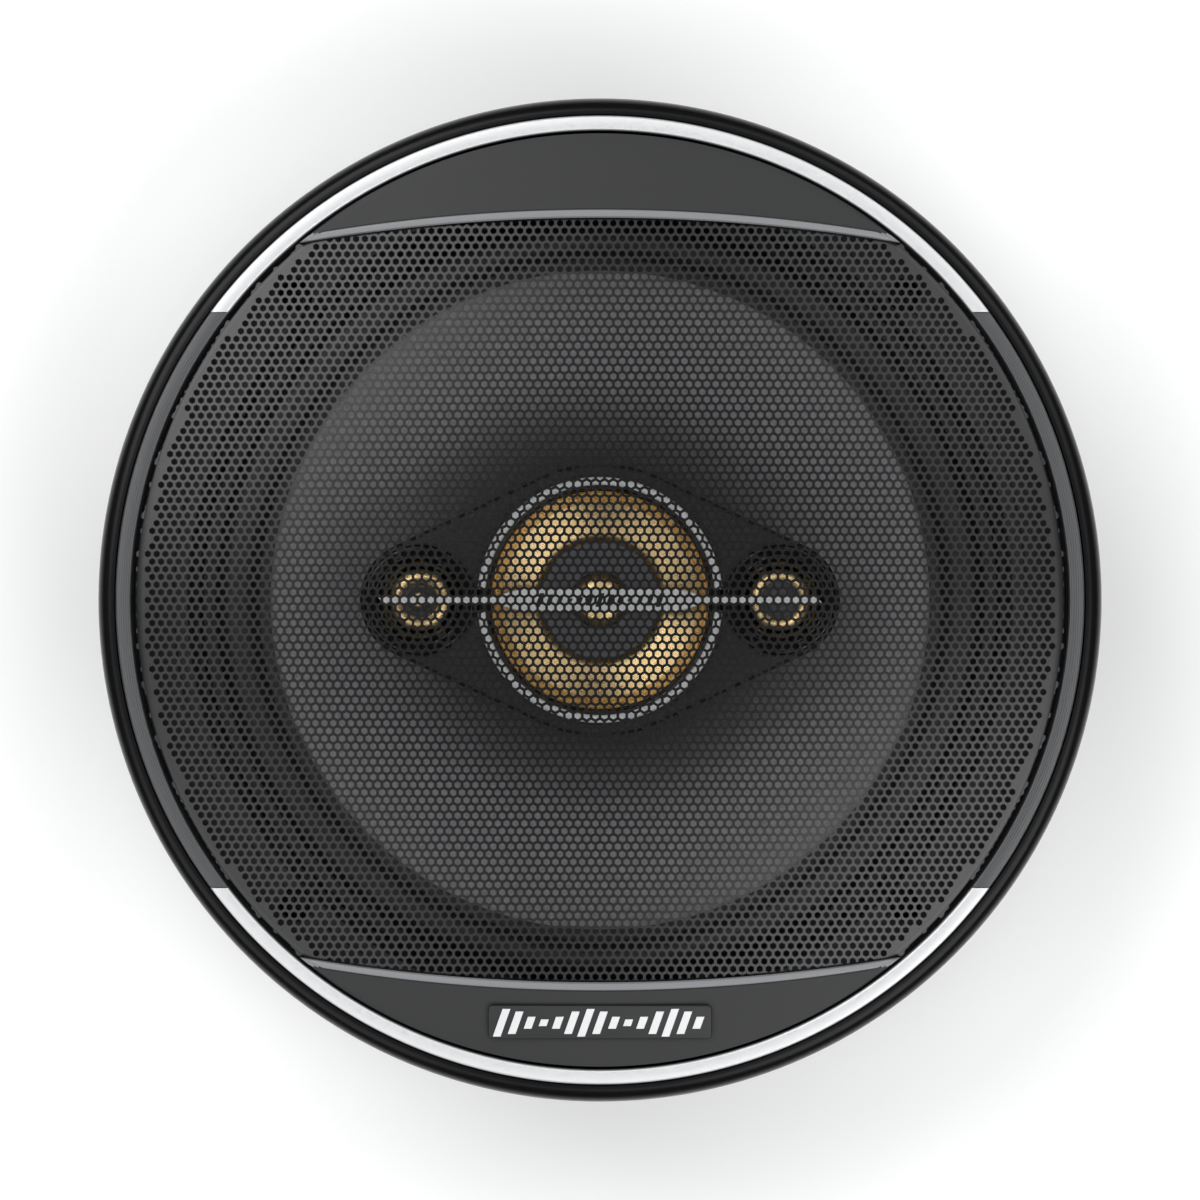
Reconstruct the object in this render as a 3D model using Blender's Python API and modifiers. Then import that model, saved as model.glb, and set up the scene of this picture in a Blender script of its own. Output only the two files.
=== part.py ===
"""A 17 cm four-way coaxial car speaker with its grille fitted, lying face up on its magnet.

Units are metres. +Z is the way the sound goes, +X runs along the bridge to its right-hand tweeter,
and the terminals are at -Y. The origin is the centre of the back plate's rear face.
"""

import math

import bmesh
import bpy
from mathutils import Matrix, Vector

MM = 0.001

# Clearances
GAP = 0.3 * MM  # left between pieces that touch
COIL_GAP = 0.4 * MM  # former to pole
WIRE_GAP = 0.1 * MM  # former to winding

# Motor
YOKE_RADIUS = 37.0 * MM
YOKE_PLATE = 4.2 * MM
YOKE_CHAMFER = 0.6 * MM
MAGNET_RADIUS = 40.0 * MM
MAGNET_BORE = 21.0 * MM
MAGNET_HEIGHT = 13.0 * MM
MAGNET_CHAMFER = 0.5 * MM
TOP_PLATE_RADIUS = 37.0 * MM
TOP_PLATE = 4.0 * MM
POLE_RISE = 0.8 * MM  # pole top above the top plate
POST_SPIGOT = 4.0 * MM  # radius of the post's spigot through the pole
POST_BORE = 2.4 * MM
NUT_ACROSS_CORNERS = 15.0 * MM
NUT_HEIGHT = 3.0 * MM
NUT_RECESS_RADIUS = 8.5 * MM
NUT_RECESS_DEPTH = 8.5 * MM
LEAD_GROOVE_WIDTH = 3.0 * MM
LEAD_GROOVE_DEPTH = 2.7 * MM

# Voice coil, spider and cone
COIL_RADIUS = 12.5 * MM  # inside of the former
FORMER_WALL = 0.3 * MM
WINDING_WALL = 0.5 * MM
WINDING_HEIGHT = 9.0 * MM
FORMER_BELOW_WINDING = 2.5 * MM
FORMER_ABOVE_NECK = 0.8 * MM
WINDING_GAP = 0.5 * MM  # winding to top plate
SPIDER_RADIUS = 38.4 * MM
SPIDER_CLOTH = 0.5 * MM
SPIDER_WAVE = 0.9 * MM
SPIDER_WAVES = 3
SPIDER_COLLAR = 2.4 * MM  # flat part glued to the former
NECK_ABOVE_SPIDER = 2.0 * MM
CONE_PAPER = 0.8 * MM
CONE_CURVE = 1.35
CONE_BELOW_FLANGE = 0.9 * MM
DUST_RING_RADIUS = 17.8 * MM
DUST_RING_RISE = 2.2 * MM
DUST_RING_CLEARANCE = 1.3 * MM  # round the post
SURROUND_WIDTH = 10.2 * MM  # from its outer edge in to the cone's edge
SURROUND_RUBBER = 0.7 * MM
SURROUND_OUTER_LAND = 1.6 * MM
SURROUND_INNER_LAND = 1.4 * MM
ROLL_HEIGHT = 4.0 * MM

# Basket
MOUNT_DEPTH = 43.0 * MM  # rear of the back plate to rear of the flange
BASKET_SHEET = 0.9 * MM
BASKET_BEND = 0.7 * MM
RIM_LIP = 3.6 * MM  # height of the folded rim above the flange
FLANGE_LAND = 10.2 * MM  # rim to ledge
LEDGE_DROP = 1.4 * MM
LEDGE_WIDTH = 8.0 * MM  # leaves the wall inside a 127 mm panel cut-out
WELL_DEPTH = 6.0 * MM
SHELF_RADIUS = 39.0 * MM
SHELF_SEAT = 4.8 * MM  # width of the spider's seat
SHELF_HEIGHT = 4.6 * MM  # above the basket floor
FLOOR_BORE = 26.0 * MM
WINDOW_START = 3.5 * MM  # shelf to window
WINDOW_STOP = 3.8 * MM  # window to the outside of the wall
WINDOW_HALF_ANGLE = math.radians(33)
SLOT_WIDTH = 5.0 * MM
SLOT_REACH = 4.6 * MM  # rim to the centre of a slot's round end
SLOT_LIP_STOP = 2.6 * MM  # flat left each side of a slot before the lip starts
SLOT_PAIR_ANGLE = math.radians(7)

# Terminals
TAB_WIDTH = 26.0 * MM
TAB_REACH = 51.0 * MM
BOARD_WIDTH = 30.0 * MM
BOARD_DEPTH = 11.0 * MM
BOARD_THICKNESS = 1.9 * MM
BLADE_SPREAD = 7.5 * MM
BLADE_LENGTH = 17.5 * MM
BLADE_THICKNESS = 0.8 * MM
POSITIVE_BLADE_WIDTH = 4.8 * MM
NEGATIVE_BLADE_WIDTH = 2.8 * MM
RIVET_RADIUS = 1.0 * MM
RIVET_HEAD_RADIUS = 1.9 * MM
RIVET_HEAD = 0.8 * MM
CAPACITOR_RADIUS = 4.0 * MM
CAPACITOR_LENGTH = 16.0 * MM
CAPACITOR_LINE = 47.2 * MM
CAPACITOR_CHAMFER = 0.5 * MM
TINSEL_RADIUS = 0.5 * MM
TINSEL_START = 44.5 * MM
TINSEL_CONE_RADIUS = 22.0 * MM  # where the leads meet the cone
TINSEL_CONE_SPREAD = 5.4 * MM
TINSEL_SLACK = 0.9 * MM
BRIDGE_LEAD_RADIUS = 0.8 * MM
BRIDGE_LEAD_BEND = 2.5 * MM

# Bridge and its drivers
POST_RADIUS = 8.0 * MM
POST_HEAD_RADIUS = 13.0 * MM
POST_HEAD = 2.0 * MM
BRIDGE_LIFT = 8.0 * MM  # bridge floor above the flange
BRIDGE_HEIGHT = 10.6 * MM
BRIDGE_FLOOR = 1.4 * MM
BRIDGE_HUB_RADIUS = 24.0 * MM
BRIDGE_END_RADIUS = 10.5 * MM
TWEETER_SPREAD = 31.6 * MM
MID_RADIUS = 21.3 * MM
MID_RISE = 1.5 * MM  # housing rim above the bridge
MID_FLOOR = 1.0 * MM
MID_LEDGE_DROP = 1.9 * MM  # housing rim to the ledge that carries the cone
MID_LEDGE_WIDTH = 1.1 * MM
MID_CONE_RADIUS = 18.9 * MM
MID_FILM = 0.4 * MM
MID_CONE_DROP = 0.8 * MM  # housing rim to the cone's edge
MID_CONE_LIFT = 1.0 * MM  # pole plate to the cone's foot
MID_CONE_CURVE = 1.25
MID_ROLL_WIDTH = 1.8 * MM
MID_ROLL_DROP = 0.2 * MM
MID_COIL_RADIUS = 8.2 * MM
MID_COIL_WALL = 0.4 * MM
MID_COIL_HEIGHT = 2.8 * MM
MID_MAGNET_RADIUS = 7.5 * MM
MID_MAGNET_HEIGHT = 1.9 * MM
MID_PLATE = 1.0 * MM
MID_YOKE_RADIUS = 10.6 * MM
MID_YOKE_SHEET = 0.9 * MM
MID_YOKE_WALL = 1.2 * MM
PLUG_RADIUS = 10.3 * MM
PLUG_STEM = 7.4 * MM
PLUG_BORE = 5.1 * MM
PLUG_LIP = 0.7 * MM
PLUG_INSERT_DROP = 0.6 * MM
SILVER_RING_RADIUS = 21.6 * MM
SILVER_RING_WIDTH = 1.6 * MM
SILVER_RING_HEIGHT = 1.0 * MM
SILVER_RING_HALF_GAP = 1.9 * MM
CUP_RADIUS = 8.7 * MM
CUP_RIM_RADIUS = 9.7 * MM
CUP_RIM = 1.2 * MM
CUP_THROAT = 5.9 * MM
CUP_MOUTH = 7.6 * MM
CUP_FLOOR = 1.0 * MM
CUP_DEPTH = 8.5 * MM
CUP_THROAT_HEIGHT = 3.2 * MM
CUP_HORN_DEPTH = 2.2 * MM
CUP_HORN_STEP = 0.5 * MM
TWEETER_MAGNET_RADIUS = 5.2 * MM
TWEETER_MAGNET_HEIGHT = 2.0 * MM
TWEETER_DOME_RADIUS = 5.5 * MM
TWEETER_DOME_RISE = 0.7 * MM
TWEETER_DOME_LIFT = 1.0 * MM  # magnet to dome
TWEETER_FILM = 0.3 * MM
TWEETER_STEM = 1.2 * MM
TWEETER_PLUG_DROP = 1.6 * MM  # cup rim to plug
LEFT_PLUG_RADIUS = 3.0 * MM
RIGHT_PLUG_RADIUS = 3.4 * MM
BAR_OVERHANG = 7.3 * MM  # past the tweeters' centres
BAR_THICKNESS = 1.5 * MM
BAR_END_HALF_WIDTH = 0.6 * MM
BAR_MIDDLE_HALF_WIDTH = 2.0 * MM
BAR_MIDDLE_HALF_LENGTH = 13.6 * MM
BAR_TAPER_END = 18.6 * MM
BAR_END_SLANT = 1.0 * MM

# Grille
BASE_RING_SETBACK = 2.2 * MM  # ledge to the ring's inner edge
BASE_RING_SKIRT = 5.2 * MM  # plastic round the flange
BASE_RING_SHELF = 2.8 * MM  # inner edge to the step on its face
BASE_RING_STEP = 0.5 * MM
BASE_RING_COVER = 1.2 * MM  # plastic over the rim lip
LIP_CLEARANCE = 0.4 * MM
SCREW_HOLE_RADIUS = 2.3 * MM
SCREW_HEAD_RADIUS = 3.1 * MM
SCREW_HEAD_DEPTH = 1.6 * MM
GRILLE_RADIUS = 88.0 * MM
GRILLE_WALL = 1.5 * MM
GRILLE_LEDGE = 1.3 * MM
SHOULDER_WIDTH = 3.1 * MM
SHOULDER_DROP = 5.0 * MM
MESH_SHEET = 0.8 * MM
MESH_ABOVE_BAR = 3.6 * MM
MESH_MARGIN = 0.4 * MM  # trim band to mesh
MESH_SKIRT = 3.5 * MM
DOME_RADIUS = 553.0 * MM
TRIM_BAND = 2.6 * MM
TRIM_HEIGHT = 7.0 * MM
TRIM_SKIRT_WALL = 1.4 * MM
TRIM_COLLAR = 3.4 * MM
TRIM_ABOVE_MESH = 0.7 * MM
CRESCENT_THICKNESS = 1.2 * MM
CRESCENT_REACH = 15.3 * MM  # trim band to the middle of the crescent's inner edge
CRESCENT_EDGE_RADIUS = 323.0 * MM
CRESCENT_GROOVE = 0.5 * MM
SILVER_ARC_END = 50.3 * MM
SILVER_ARC_HEIGHT = 0.8 * MM
BADGE_LENGTH = 39.0 * MM
BADGE_WIDTH = 6.0 * MM
BADGE_THICKNESS = 0.6 * MM
BADGE_EDGE = 0.15 * MM
BADGE_SETBACK = 6.9 * MM  # crescent's edge to the badge's middle

# Facets round a turned piece
LARGE_STEPS = 32
MOTOR_STEPS = 24
SMALL_STEPS = 16

# Heights that follow from the sizes above
MAGNET_BASE = YOKE_PLATE + GAP
TOP_PLATE_BASE = MAGNET_BASE + MAGNET_HEIGHT + GAP
TOP_PLATE_TOP = TOP_PLATE_BASE + TOP_PLATE
POLE_TOP = TOP_PLATE_TOP + POLE_RISE
FLOOR_TOP = TOP_PLATE_TOP + GAP + BASKET_SHEET
SHELF_TOP = FLOOR_TOP + SHELF_HEIGHT
SPIDER_BASE = SHELF_TOP + GAP
SPIDER_TOP = SPIDER_BASE + SPIDER_CLOTH
NECK_HEIGHT = SPIDER_TOP + NECK_ABOVE_SPIDER
FLANGE_FRONT = MOUNT_DEPTH + BASKET_SHEET
CONE_EDGE_HEIGHT = FLANGE_FRONT - CONE_BELOW_FLANGE
BRIDGE_BASE = FLANGE_FRONT + BRIDGE_LIFT
BRIDGE_TOP = BRIDGE_BASE + BRIDGE_HEIGHT
MID_BASE = BRIDGE_BASE + BRIDGE_FLOOR + GAP
MID_TOP = BRIDGE_TOP + MID_RISE
CUP_TOP = BRIDGE_TOP + GAP + CUP_RIM
BAR_BASE = MID_TOP + GAP
BAR_TOP = BAR_BASE + BAR_THICKNESS
DOME_CROWN = BAR_TOP + MESH_ABOVE_BAR + MESH_SHEET
BASE_RING_SEAT = FLANGE_FRONT + GAP
BASE_RING_TOP = FLANGE_FRONT + RIM_LIP + LIP_CLEARANCE + BASE_RING_COVER

# Radii that follow, from the grille inwards
TRIM_OUTER = GRILLE_RADIUS - SHOULDER_WIDTH - GAP
TRIM_INNER = TRIM_OUTER - TRIM_BAND
MESH_RADIUS = TRIM_INNER - MESH_MARGIN
CRESCENT_EDGE = TRIM_INNER - CRESCENT_REACH
BADGE_LINE = CRESCENT_EDGE + BADGE_SETBACK
BASE_RING_OUTER = GRILLE_RADIUS - GRILLE_WALL - GAP
FLANGE_RADIUS = BASE_RING_OUTER - BASE_RING_SKIRT
SLOT_CENTRE = FLANGE_RADIUS - SLOT_REACH
LEDGE_RADIUS = FLANGE_RADIUS - FLANGE_LAND
BASE_RING_INNER = LEDGE_RADIUS + BASE_RING_SETBACK
BASE_RING_LAND = BASE_RING_INNER + BASE_RING_SHELF
SURROUND_RADIUS = LEDGE_RADIUS - 2 * GAP
CONE_RADIUS = SURROUND_RADIUS - SURROUND_WIDTH
WELL_RADIUS = LEDGE_RADIUS - LEDGE_WIDTH
WINDOW_OUTER = WELL_RADIUS - WINDOW_STOP
WINDOW_INNER = SHELF_RADIUS + WINDOW_START
POLE_RADIUS = COIL_RADIUS - COIL_GAP
FORMER_OUTER = COIL_RADIUS + FORMER_WALL
WINDING_INNER = FORMER_OUTER + WIRE_GAP
WINDING_OUTER = WINDING_INNER + WINDING_WALL
TOP_PLATE_BORE = WINDING_OUTER + WINDING_GAP
NECK_RADIUS = FORMER_OUTER + GAP
BAR_HALF_LENGTH = TWEETER_SPREAD + BAR_OVERHANG

# Distances from the axis to the terminals
BOARD_START = WINDOW_INNER + 2 * GAP
BOARD_END = BOARD_START + BOARD_DEPTH
BLADE_START = BOARD_START + GAP
BLADE_END = BLADE_START + BLADE_LENGTH
RIVET_LINE = BOARD_START + BOARD_DEPTH / 2


def clear_scene():
    for obj in list(bpy.data.objects):
        bpy.data.objects.remove(obj, do_unlink=True)


clear_scene()
parts = bpy.data.collections.new("coaxial_car_speaker")
cutters = bpy.data.collections.new("cutters")
bpy.context.scene.collection.children.link(parts)
bpy.context.scene.collection.children.link(cutters)


def material(name, colour, roughness, metallic=0.0):
    made = bpy.data.materials.new(name)
    made.use_nodes = True
    shader = made.node_tree.nodes["Principled BSDF"]
    shader.inputs["Base Color"].default_value = (*colour, 1.0)
    shader.inputs["Roughness"].default_value = roughness
    shader.inputs["Metallic"].default_value = metallic
    return made


ZINC_STEEL = material("zinc_plated_steel", (0.55, 0.55, 0.53), 0.35, 1.0)
FERRITE = material("ferrite", (0.035, 0.035, 0.037), 0.6)
BLACK_STEEL = material("black_coated_steel", (0.014, 0.014, 0.015), 0.4)
RUBBER = material("black_rubber", (0.012, 0.012, 0.013), 0.5)
GREY_CONE = material("grey_cone", (0.062, 0.062, 0.065), 0.55)
SPIDER_FABRIC = material("spider_cloth", (0.5, 0.32, 0.1), 0.85)
ALUMINIUM = material("aluminium", (0.7, 0.7, 0.7), 0.35, 1.0)
COPPER = material("copper_wire", (0.75, 0.33, 0.16), 0.35, 1.0)
GRAINED_BLACK = material("grained_black_plastic", (0.012, 0.012, 0.012), 0.6)
GLOSS_BLACK = material("gloss_black_plastic", (0.008, 0.008, 0.009), 0.15)
GREY_PLASTIC = material("dark_grey_plastic", (0.06, 0.06, 0.062), 0.45)
GOLD_FILM = material("gold_film", (0.72, 0.45, 0.16), 0.3, 1.0)
SILVER = material("satin_silver", (0.75, 0.75, 0.75), 0.25, 1.0)
TINNED = material("tinned_brass", (0.65, 0.63, 0.58), 0.3, 1.0)
BROWN_BOARD = material("phenolic_board", (0.16, 0.07, 0.03), 0.6)
CAPACITOR_SLEEVE = material("capacitor_sleeve", (0.02, 0.03, 0.12), 0.35)
BLACK_MESH = material("black_perforated_steel", (0.02, 0.02, 0.021), 0.4)


def axis_empty(name, place, parent=None):
    """An empty on a moving piece's joint axis, which the piece's own solids are parented to."""
    empty = bpy.data.objects.new(name, None)
    empty.empty_display_size = 5 * MM
    empty.location = place
    parts.objects.link(empty)
    if parent:
        empty.parent = parent
    return empty


speaker = axis_empty("speaker", (0, 0, 0))
woofer_axis = axis_empty("woofer_axis", (0, 0, NECK_HEIGHT), speaker)
mid_axis = axis_empty("midrange_axis", (0, 0, MID_BASE), speaker)
left_axis = axis_empty("left_tweeter_axis", (-TWEETER_SPREAD, 0, BRIDGE_BASE), speaker)
right_axis = axis_empty("right_tweeter_axis", (TWEETER_SPREAD, 0, BRIDGE_BASE), speaker)
grille_axis = axis_empty("grille_axis", (0, 0, BASE_RING_TOP), speaker)


def finish(obj, look, parent=speaker):
    """Links a piece to the model with its material, and parents it where it stands."""
    obj.data.materials.clear()
    obj.data.materials.append(look)
    obj.parent = parent
    obj.matrix_parent_inverse = Matrix.Translation(-parent.location)
    obj.data.shade_smooth()
    obj.data.set_sharp_from_angle(angle=math.radians(35))
    if obj.name not in parts.objects:
        parts.objects.link(obj)
    return obj


def as_cutter(obj):
    obj.hide_render = True
    obj.display_type = "WIRE"
    if obj.name not in cutters.objects:
        cutters.objects.link(obj)
    return obj


def clockwise(points):
    """The closed (radius, height) outline, ordered so that its outer side runs down."""
    area = sum(a[0] * b[1] - b[0] * a[1] for a, b in zip(points, points[1:] + points[:1]))
    return points if area < 0 else points[::-1]


def profile_object(name, points, closed, steps):
    mesh = bpy.data.meshes.new(name)
    edges = [(i, i + 1) for i in range(len(points) - 1)]
    if closed:
        edges.append((len(points) - 1, 0))
    mesh.from_pydata([(radius, 0, height) for radius, height in points], edges, [])
    obj = bpy.data.objects.new(name, mesh)
    screw = obj.modifiers.new("Turn", "SCREW")
    screw.steps = steps
    screw.render_steps = steps
    screw.use_merge_vertices = True
    screw.merge_threshold = 0.00001
    return obj


def turned_ring(name, points, steps=LARGE_STEPS):
    """A turned piece from a closed outline that stays clear of the axis."""
    return profile_object(name, clockwise(points), True, steps)


def turned_solid(name, points, steps=SMALL_STEPS):
    """A turned piece from an open outline that starts and ends on the axis, its outer side running down."""
    return profile_object(name, points, False, steps)


def turned_shell(name, points, thickness, side, steps=LARGE_STEPS):
    """A thin turned piece: the given surface, thickened to one side of it."""
    obj = profile_object(name, points, False, steps)
    solidify = obj.modifiers.new("Thickness", "SOLIDIFY")
    solidify.thickness = thickness
    solidify.offset = side
    solidify.use_even_offset = True
    return obj


def from_bmesh(name, build):
    mesh = bpy.data.meshes.new(name)
    build.to_mesh(mesh)
    build.free()
    return bpy.data.objects.new(name, mesh)


def rod(name, radius, low, high, centre=(0, 0), segments=16):
    """An upright cylinder between two heights."""
    build = bmesh.new()
    bmesh.ops.create_cone(
        build,
        cap_ends=True,
        segments=segments,
        radius1=radius,
        radius2=radius,
        depth=high - low,
        matrix=Matrix.Translation((*centre, (low + high) / 2)),
    )
    return from_bmesh(name, build)


def block(name, low, high, turn=0.0):
    """A box from its lowest to its highest corner, turned about the axis of the speaker."""
    low, high = Vector(low), Vector(high)
    build = bmesh.new()
    bmesh.ops.create_cube(
        build,
        size=1.0,
        matrix=Matrix.Translation((low + high) / 2) @ Matrix.Diagonal((*(high - low), 1.0)),
    )
    bmesh.ops.transform(build, matrix=Matrix.Rotation(turn, 4, "Z"), verts=build.verts)
    return from_bmesh(name, build)


def mesh_from_curve(obj):
    """The curve as a mesh object in the same place, with its caps welded on."""
    bpy.context.scene.collection.objects.link(obj)
    bpy.context.view_layer.update()
    graph = bpy.context.evaluated_depsgraph_get()
    mesh = bpy.data.meshes.new_from_object(obj.evaluated_get(graph))
    build = bmesh.new()
    build.from_mesh(mesh)
    bmesh.ops.remove_doubles(build, verts=build.verts, dist=0.000001)
    bmesh.ops.recalc_face_normals(build, faces=build.faces)
    build.to_mesh(mesh)
    build.free()
    name = obj.name
    place = obj.matrix_world.copy()
    bpy.data.objects.remove(obj, do_unlink=True)
    made = bpy.data.objects.new(name, mesh)
    made.matrix_world = place
    return made


def plate(name, outline, low, high):
    """A flat piece with the given closed outline, between two heights."""
    curve = bpy.data.curves.new(name, "CURVE")
    curve.dimensions = "2D"
    curve.fill_mode = "BOTH"
    curve.extrude = (high - low) / 2
    spline = curve.splines.new("POLY")
    spline.points.add(len(outline) - 1)
    for point, (x, y) in zip(spline.points, outline):
        point.co = (x, y, 0, 1)
    spline.use_cyclic_u = True
    obj = bpy.data.objects.new(name, curve)
    obj.location.z = (low + high) / 2
    return mesh_from_curve(obj)


def boolean(target, other, operation="DIFFERENCE"):
    modifier = target.modifiers.new(other.name, "BOOLEAN")
    modifier.operation = operation
    modifier.object = as_cutter(other)


def arc(radius, start, end, steps, centre=(0.0, 0.0)):
    """Points along an arc, both ends included."""
    return [
        (
            centre[0] + radius * math.cos(start + (end - start) * i / steps),
            centre[1] + radius * math.sin(start + (end - start) * i / steps),
        )
        for i in range(steps + 1)
    ]


def smooth_path(points, parts_each=4):
    """A Catmull-Rom curve through the points."""
    ends = [2 * Vector(points[0]) - Vector(points[1]), 2 * Vector(points[-1]) - Vector(points[-2])]
    way = [ends[0], *map(Vector, points), ends[1]]
    path = []
    for a, b, c, d in zip(way, way[1:], way[2:], way[3:]):
        for i in range(parts_each):
            t = i / parts_each
            path.append(
                0.5
                * (
                    2 * b
                    + (c - a) * t
                    + (2 * a - 5 * b + 4 * c - d) * t**2
                    + (3 * b - a - 3 * c + d) * t**3
                )
            )
    return [*path, Vector(points[-1])]


def wire(name, points, radius):
    """A round lead along a smooth path, with closed ends."""
    curve = bpy.data.curves.new(name, "CURVE")
    curve.dimensions = "3D"
    curve.bevel_depth = radius
    curve.bevel_resolution = 1
    curve.use_fill_caps = True
    path = smooth_path(points)
    spline = curve.splines.new("POLY")
    spline.points.add(len(path) - 1)
    for point, place in zip(spline.points, path):
        point.co = (*place, 1)
    return mesh_from_curve(bpy.data.objects.new(name, curve))


def cone_height(radius):
    """Height of the cone's front face at a radius."""
    share = (radius - NECK_RADIUS) / (CONE_RADIUS - NECK_RADIUS)
    return NECK_HEIGHT + (CONE_EDGE_HEIGHT - NECK_HEIGHT) * (1 - (1 - share) ** CONE_CURVE)


def dome_height(radius):
    """Height of the mesh's front face at a radius."""
    return DOME_CROWN - DOME_RADIUS + math.sqrt(DOME_RADIUS**2 - radius**2)


# Yoke: back plate and pole in one forging, with a recess for the post's nut and a groove for the lead.
def make_yoke():
    bore = POST_SPIGOT + GAP
    yoke = turned_ring(
        "yoke",
        [
            (POLE_RADIUS, POLE_TOP),
            (POLE_RADIUS, YOKE_PLATE),
            (YOKE_RADIUS - YOKE_CHAMFER, YOKE_PLATE),
            (YOKE_RADIUS, YOKE_PLATE - YOKE_CHAMFER),
            (YOKE_RADIUS, YOKE_CHAMFER),
            (YOKE_RADIUS - YOKE_CHAMFER, 0),
            (NUT_RECESS_RADIUS, 0),
            (NUT_RECESS_RADIUS, NUT_RECESS_DEPTH),
            (bore, NUT_RECESS_DEPTH),
            (bore, POLE_TOP),
        ],
        MOTOR_STEPS,
    )
    half = LEAD_GROOVE_WIDTH / 2
    groove = block(
        "lead_groove_cutter", (-half, -YOKE_RADIUS - MM, -MM), (half, 0, LEAD_GROOVE_DEPTH)
    )
    boolean(yoke, groove)
    finish(yoke, ZINC_STEEL)


def make_flat_ring(name, outer, inner, low, high, chamfer, look):
    obj = turned_ring(
        name,
        [
            (outer - chamfer, high),
            (outer, high - chamfer),
            (outer, low + chamfer),
            (outer - chamfer, low),
            (inner, low),
            (inner, high),
        ],
        MOTOR_STEPS,
    )
    return finish(obj, look)


def make_motor():
    make_yoke()
    magnet_top = MAGNET_BASE + MAGNET_HEIGHT
    make_flat_ring(
        "magnet", MAGNET_RADIUS, MAGNET_BORE, MAGNET_BASE, magnet_top, MAGNET_CHAMFER, FERRITE
    )
    make_flat_ring(
        "top_plate",
        TOP_PLATE_RADIUS,
        TOP_PLATE_BORE,
        TOP_PLATE_BASE,
        TOP_PLATE_TOP,
        YOKE_CHAMFER,
        ZINC_STEEL,
    )


# Basket: one pressing, from the floor on the top plate, past the spider's shelf, to the flange and its lip.
def window_outline(direction):
    start, end = direction - WINDOW_HALF_ANGLE, direction + WINDOW_HALF_ANGLE
    return arc(WINDOW_INNER, start, end, 6) + arc(WINDOW_OUTER, end, start, 8)


def slot_outline(direction):
    half = SLOT_WIDTH / 2
    past_rim = FLANGE_RADIUS + 2 * MM
    round_end = arc(half, math.pi / 2, 3 * math.pi / 2, 4, (SLOT_CENTRE, 0))
    outline = [(past_rim, half), *round_end, (past_rim, -half)]
    turn = Matrix.Rotation(direction, 2)
    return [tuple(turn @ Vector(point)) for point in outline]


def slot_angles():
    """Single slots on the diagonals, and pairs on the axes."""
    found = []
    for quarter in range(4):
        on_axis = quarter * math.pi / 2
        found += [on_axis - SLOT_PAIR_ANGLE, on_axis + SLOT_PAIR_ANGLE, on_axis + math.pi / 4]
    return found


def make_basket():
    lip_inside = FLANGE_RADIUS - BASKET_SHEET
    bend = BASKET_BEND
    well_inside = WELL_RADIUS - BASKET_SHEET
    basket = turned_shell(
        "basket",
        [
            (lip_inside, FLANGE_FRONT + RIM_LIP),
            (lip_inside, FLANGE_FRONT + bend),
            (lip_inside - bend, FLANGE_FRONT),
            (LEDGE_RADIUS + bend, FLANGE_FRONT),
            (LEDGE_RADIUS, FLANGE_FRONT - LEDGE_DROP),
            (well_inside + bend, FLANGE_FRONT - LEDGE_DROP),
            (well_inside, FLANGE_FRONT - LEDGE_DROP - bend),
            (well_inside - bend, FLANGE_FRONT - WELL_DEPTH),
            (SHELF_RADIUS, SHELF_TOP),
            (SHELF_RADIUS - SHELF_SEAT, SHELF_TOP),
            (SHELF_RADIUS - SHELF_SEAT - bend, FLOOR_TOP),
            (FLOOR_BORE, FLOOR_TOP),
        ],
        BASKET_SHEET,
        1,
    )
    for quarter in range(4):
        outline = window_outline(quarter * math.pi / 2)
        top = FLANGE_FRONT - LEDGE_DROP - MM
        boolean(basket, plate(f"window_cutter_{quarter}", outline, FLOOR_TOP, top))
    lip_top = FLANGE_FRONT + RIM_LIP + MM
    half_stop = SLOT_WIDTH / 2 + SLOT_LIP_STOP
    for number, angle in enumerate(slot_angles()):
        outline = slot_outline(angle)
        boolean(basket, plate(f"slot_cutter_{number}", outline, MOUNT_DEPTH - MM, lip_top))
        lip_gap = block(
            f"lip_cutter_{number}",
            (FLANGE_RADIUS - 4 * MM, -half_stop, FLANGE_FRONT + BASKET_SHEET / 2),
            (FLANGE_RADIUS + 2 * MM, half_stop, lip_top),
            angle,
        )
        boolean(basket, lip_gap)
    sink = BASKET_SHEET / 10
    tab = block(
        "terminal_tab",
        (-TAB_WIDTH / 2, -TAB_REACH, SHELF_TOP - BASKET_SHEET + sink),
        (TAB_WIDTH / 2, MM - SHELF_RADIUS, SHELF_TOP - sink),
    )
    boolean(basket, tab, "UNION")
    hole_radius = RIVET_RADIUS + GAP
    hole = rod("tab_hole_cutter", hole_radius, FLOOR_TOP, SHELF_TOP + MM, (0, -RIVET_LINE))
    boolean(basket, hole)
    finish(basket, BLACK_STEEL)


# Suspension and moving system of the woofer.
def make_spider():
    outer_seat = SHELF_RADIUS - SHELF_SEAT + 2 * GAP
    inner_seat = NECK_RADIUS + SPIDER_COLLAR
    span = outer_seat - inner_seat
    points = [(SPIDER_RADIUS, SPIDER_TOP), (outer_seat, SPIDER_TOP)]
    for i in range(1, 2 * SPIDER_WAVES):
        wave = SPIDER_WAVE if i % 2 else -SPIDER_WAVE
        points.append((outer_seat - span * i / (2 * SPIDER_WAVES), SPIDER_TOP + wave))
    points += [(inner_seat, SPIDER_TOP), (NECK_RADIUS, SPIDER_TOP)]
    finish(turned_shell("spider", points, SPIDER_CLOTH, 1), SPIDER_FABRIC)


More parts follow.
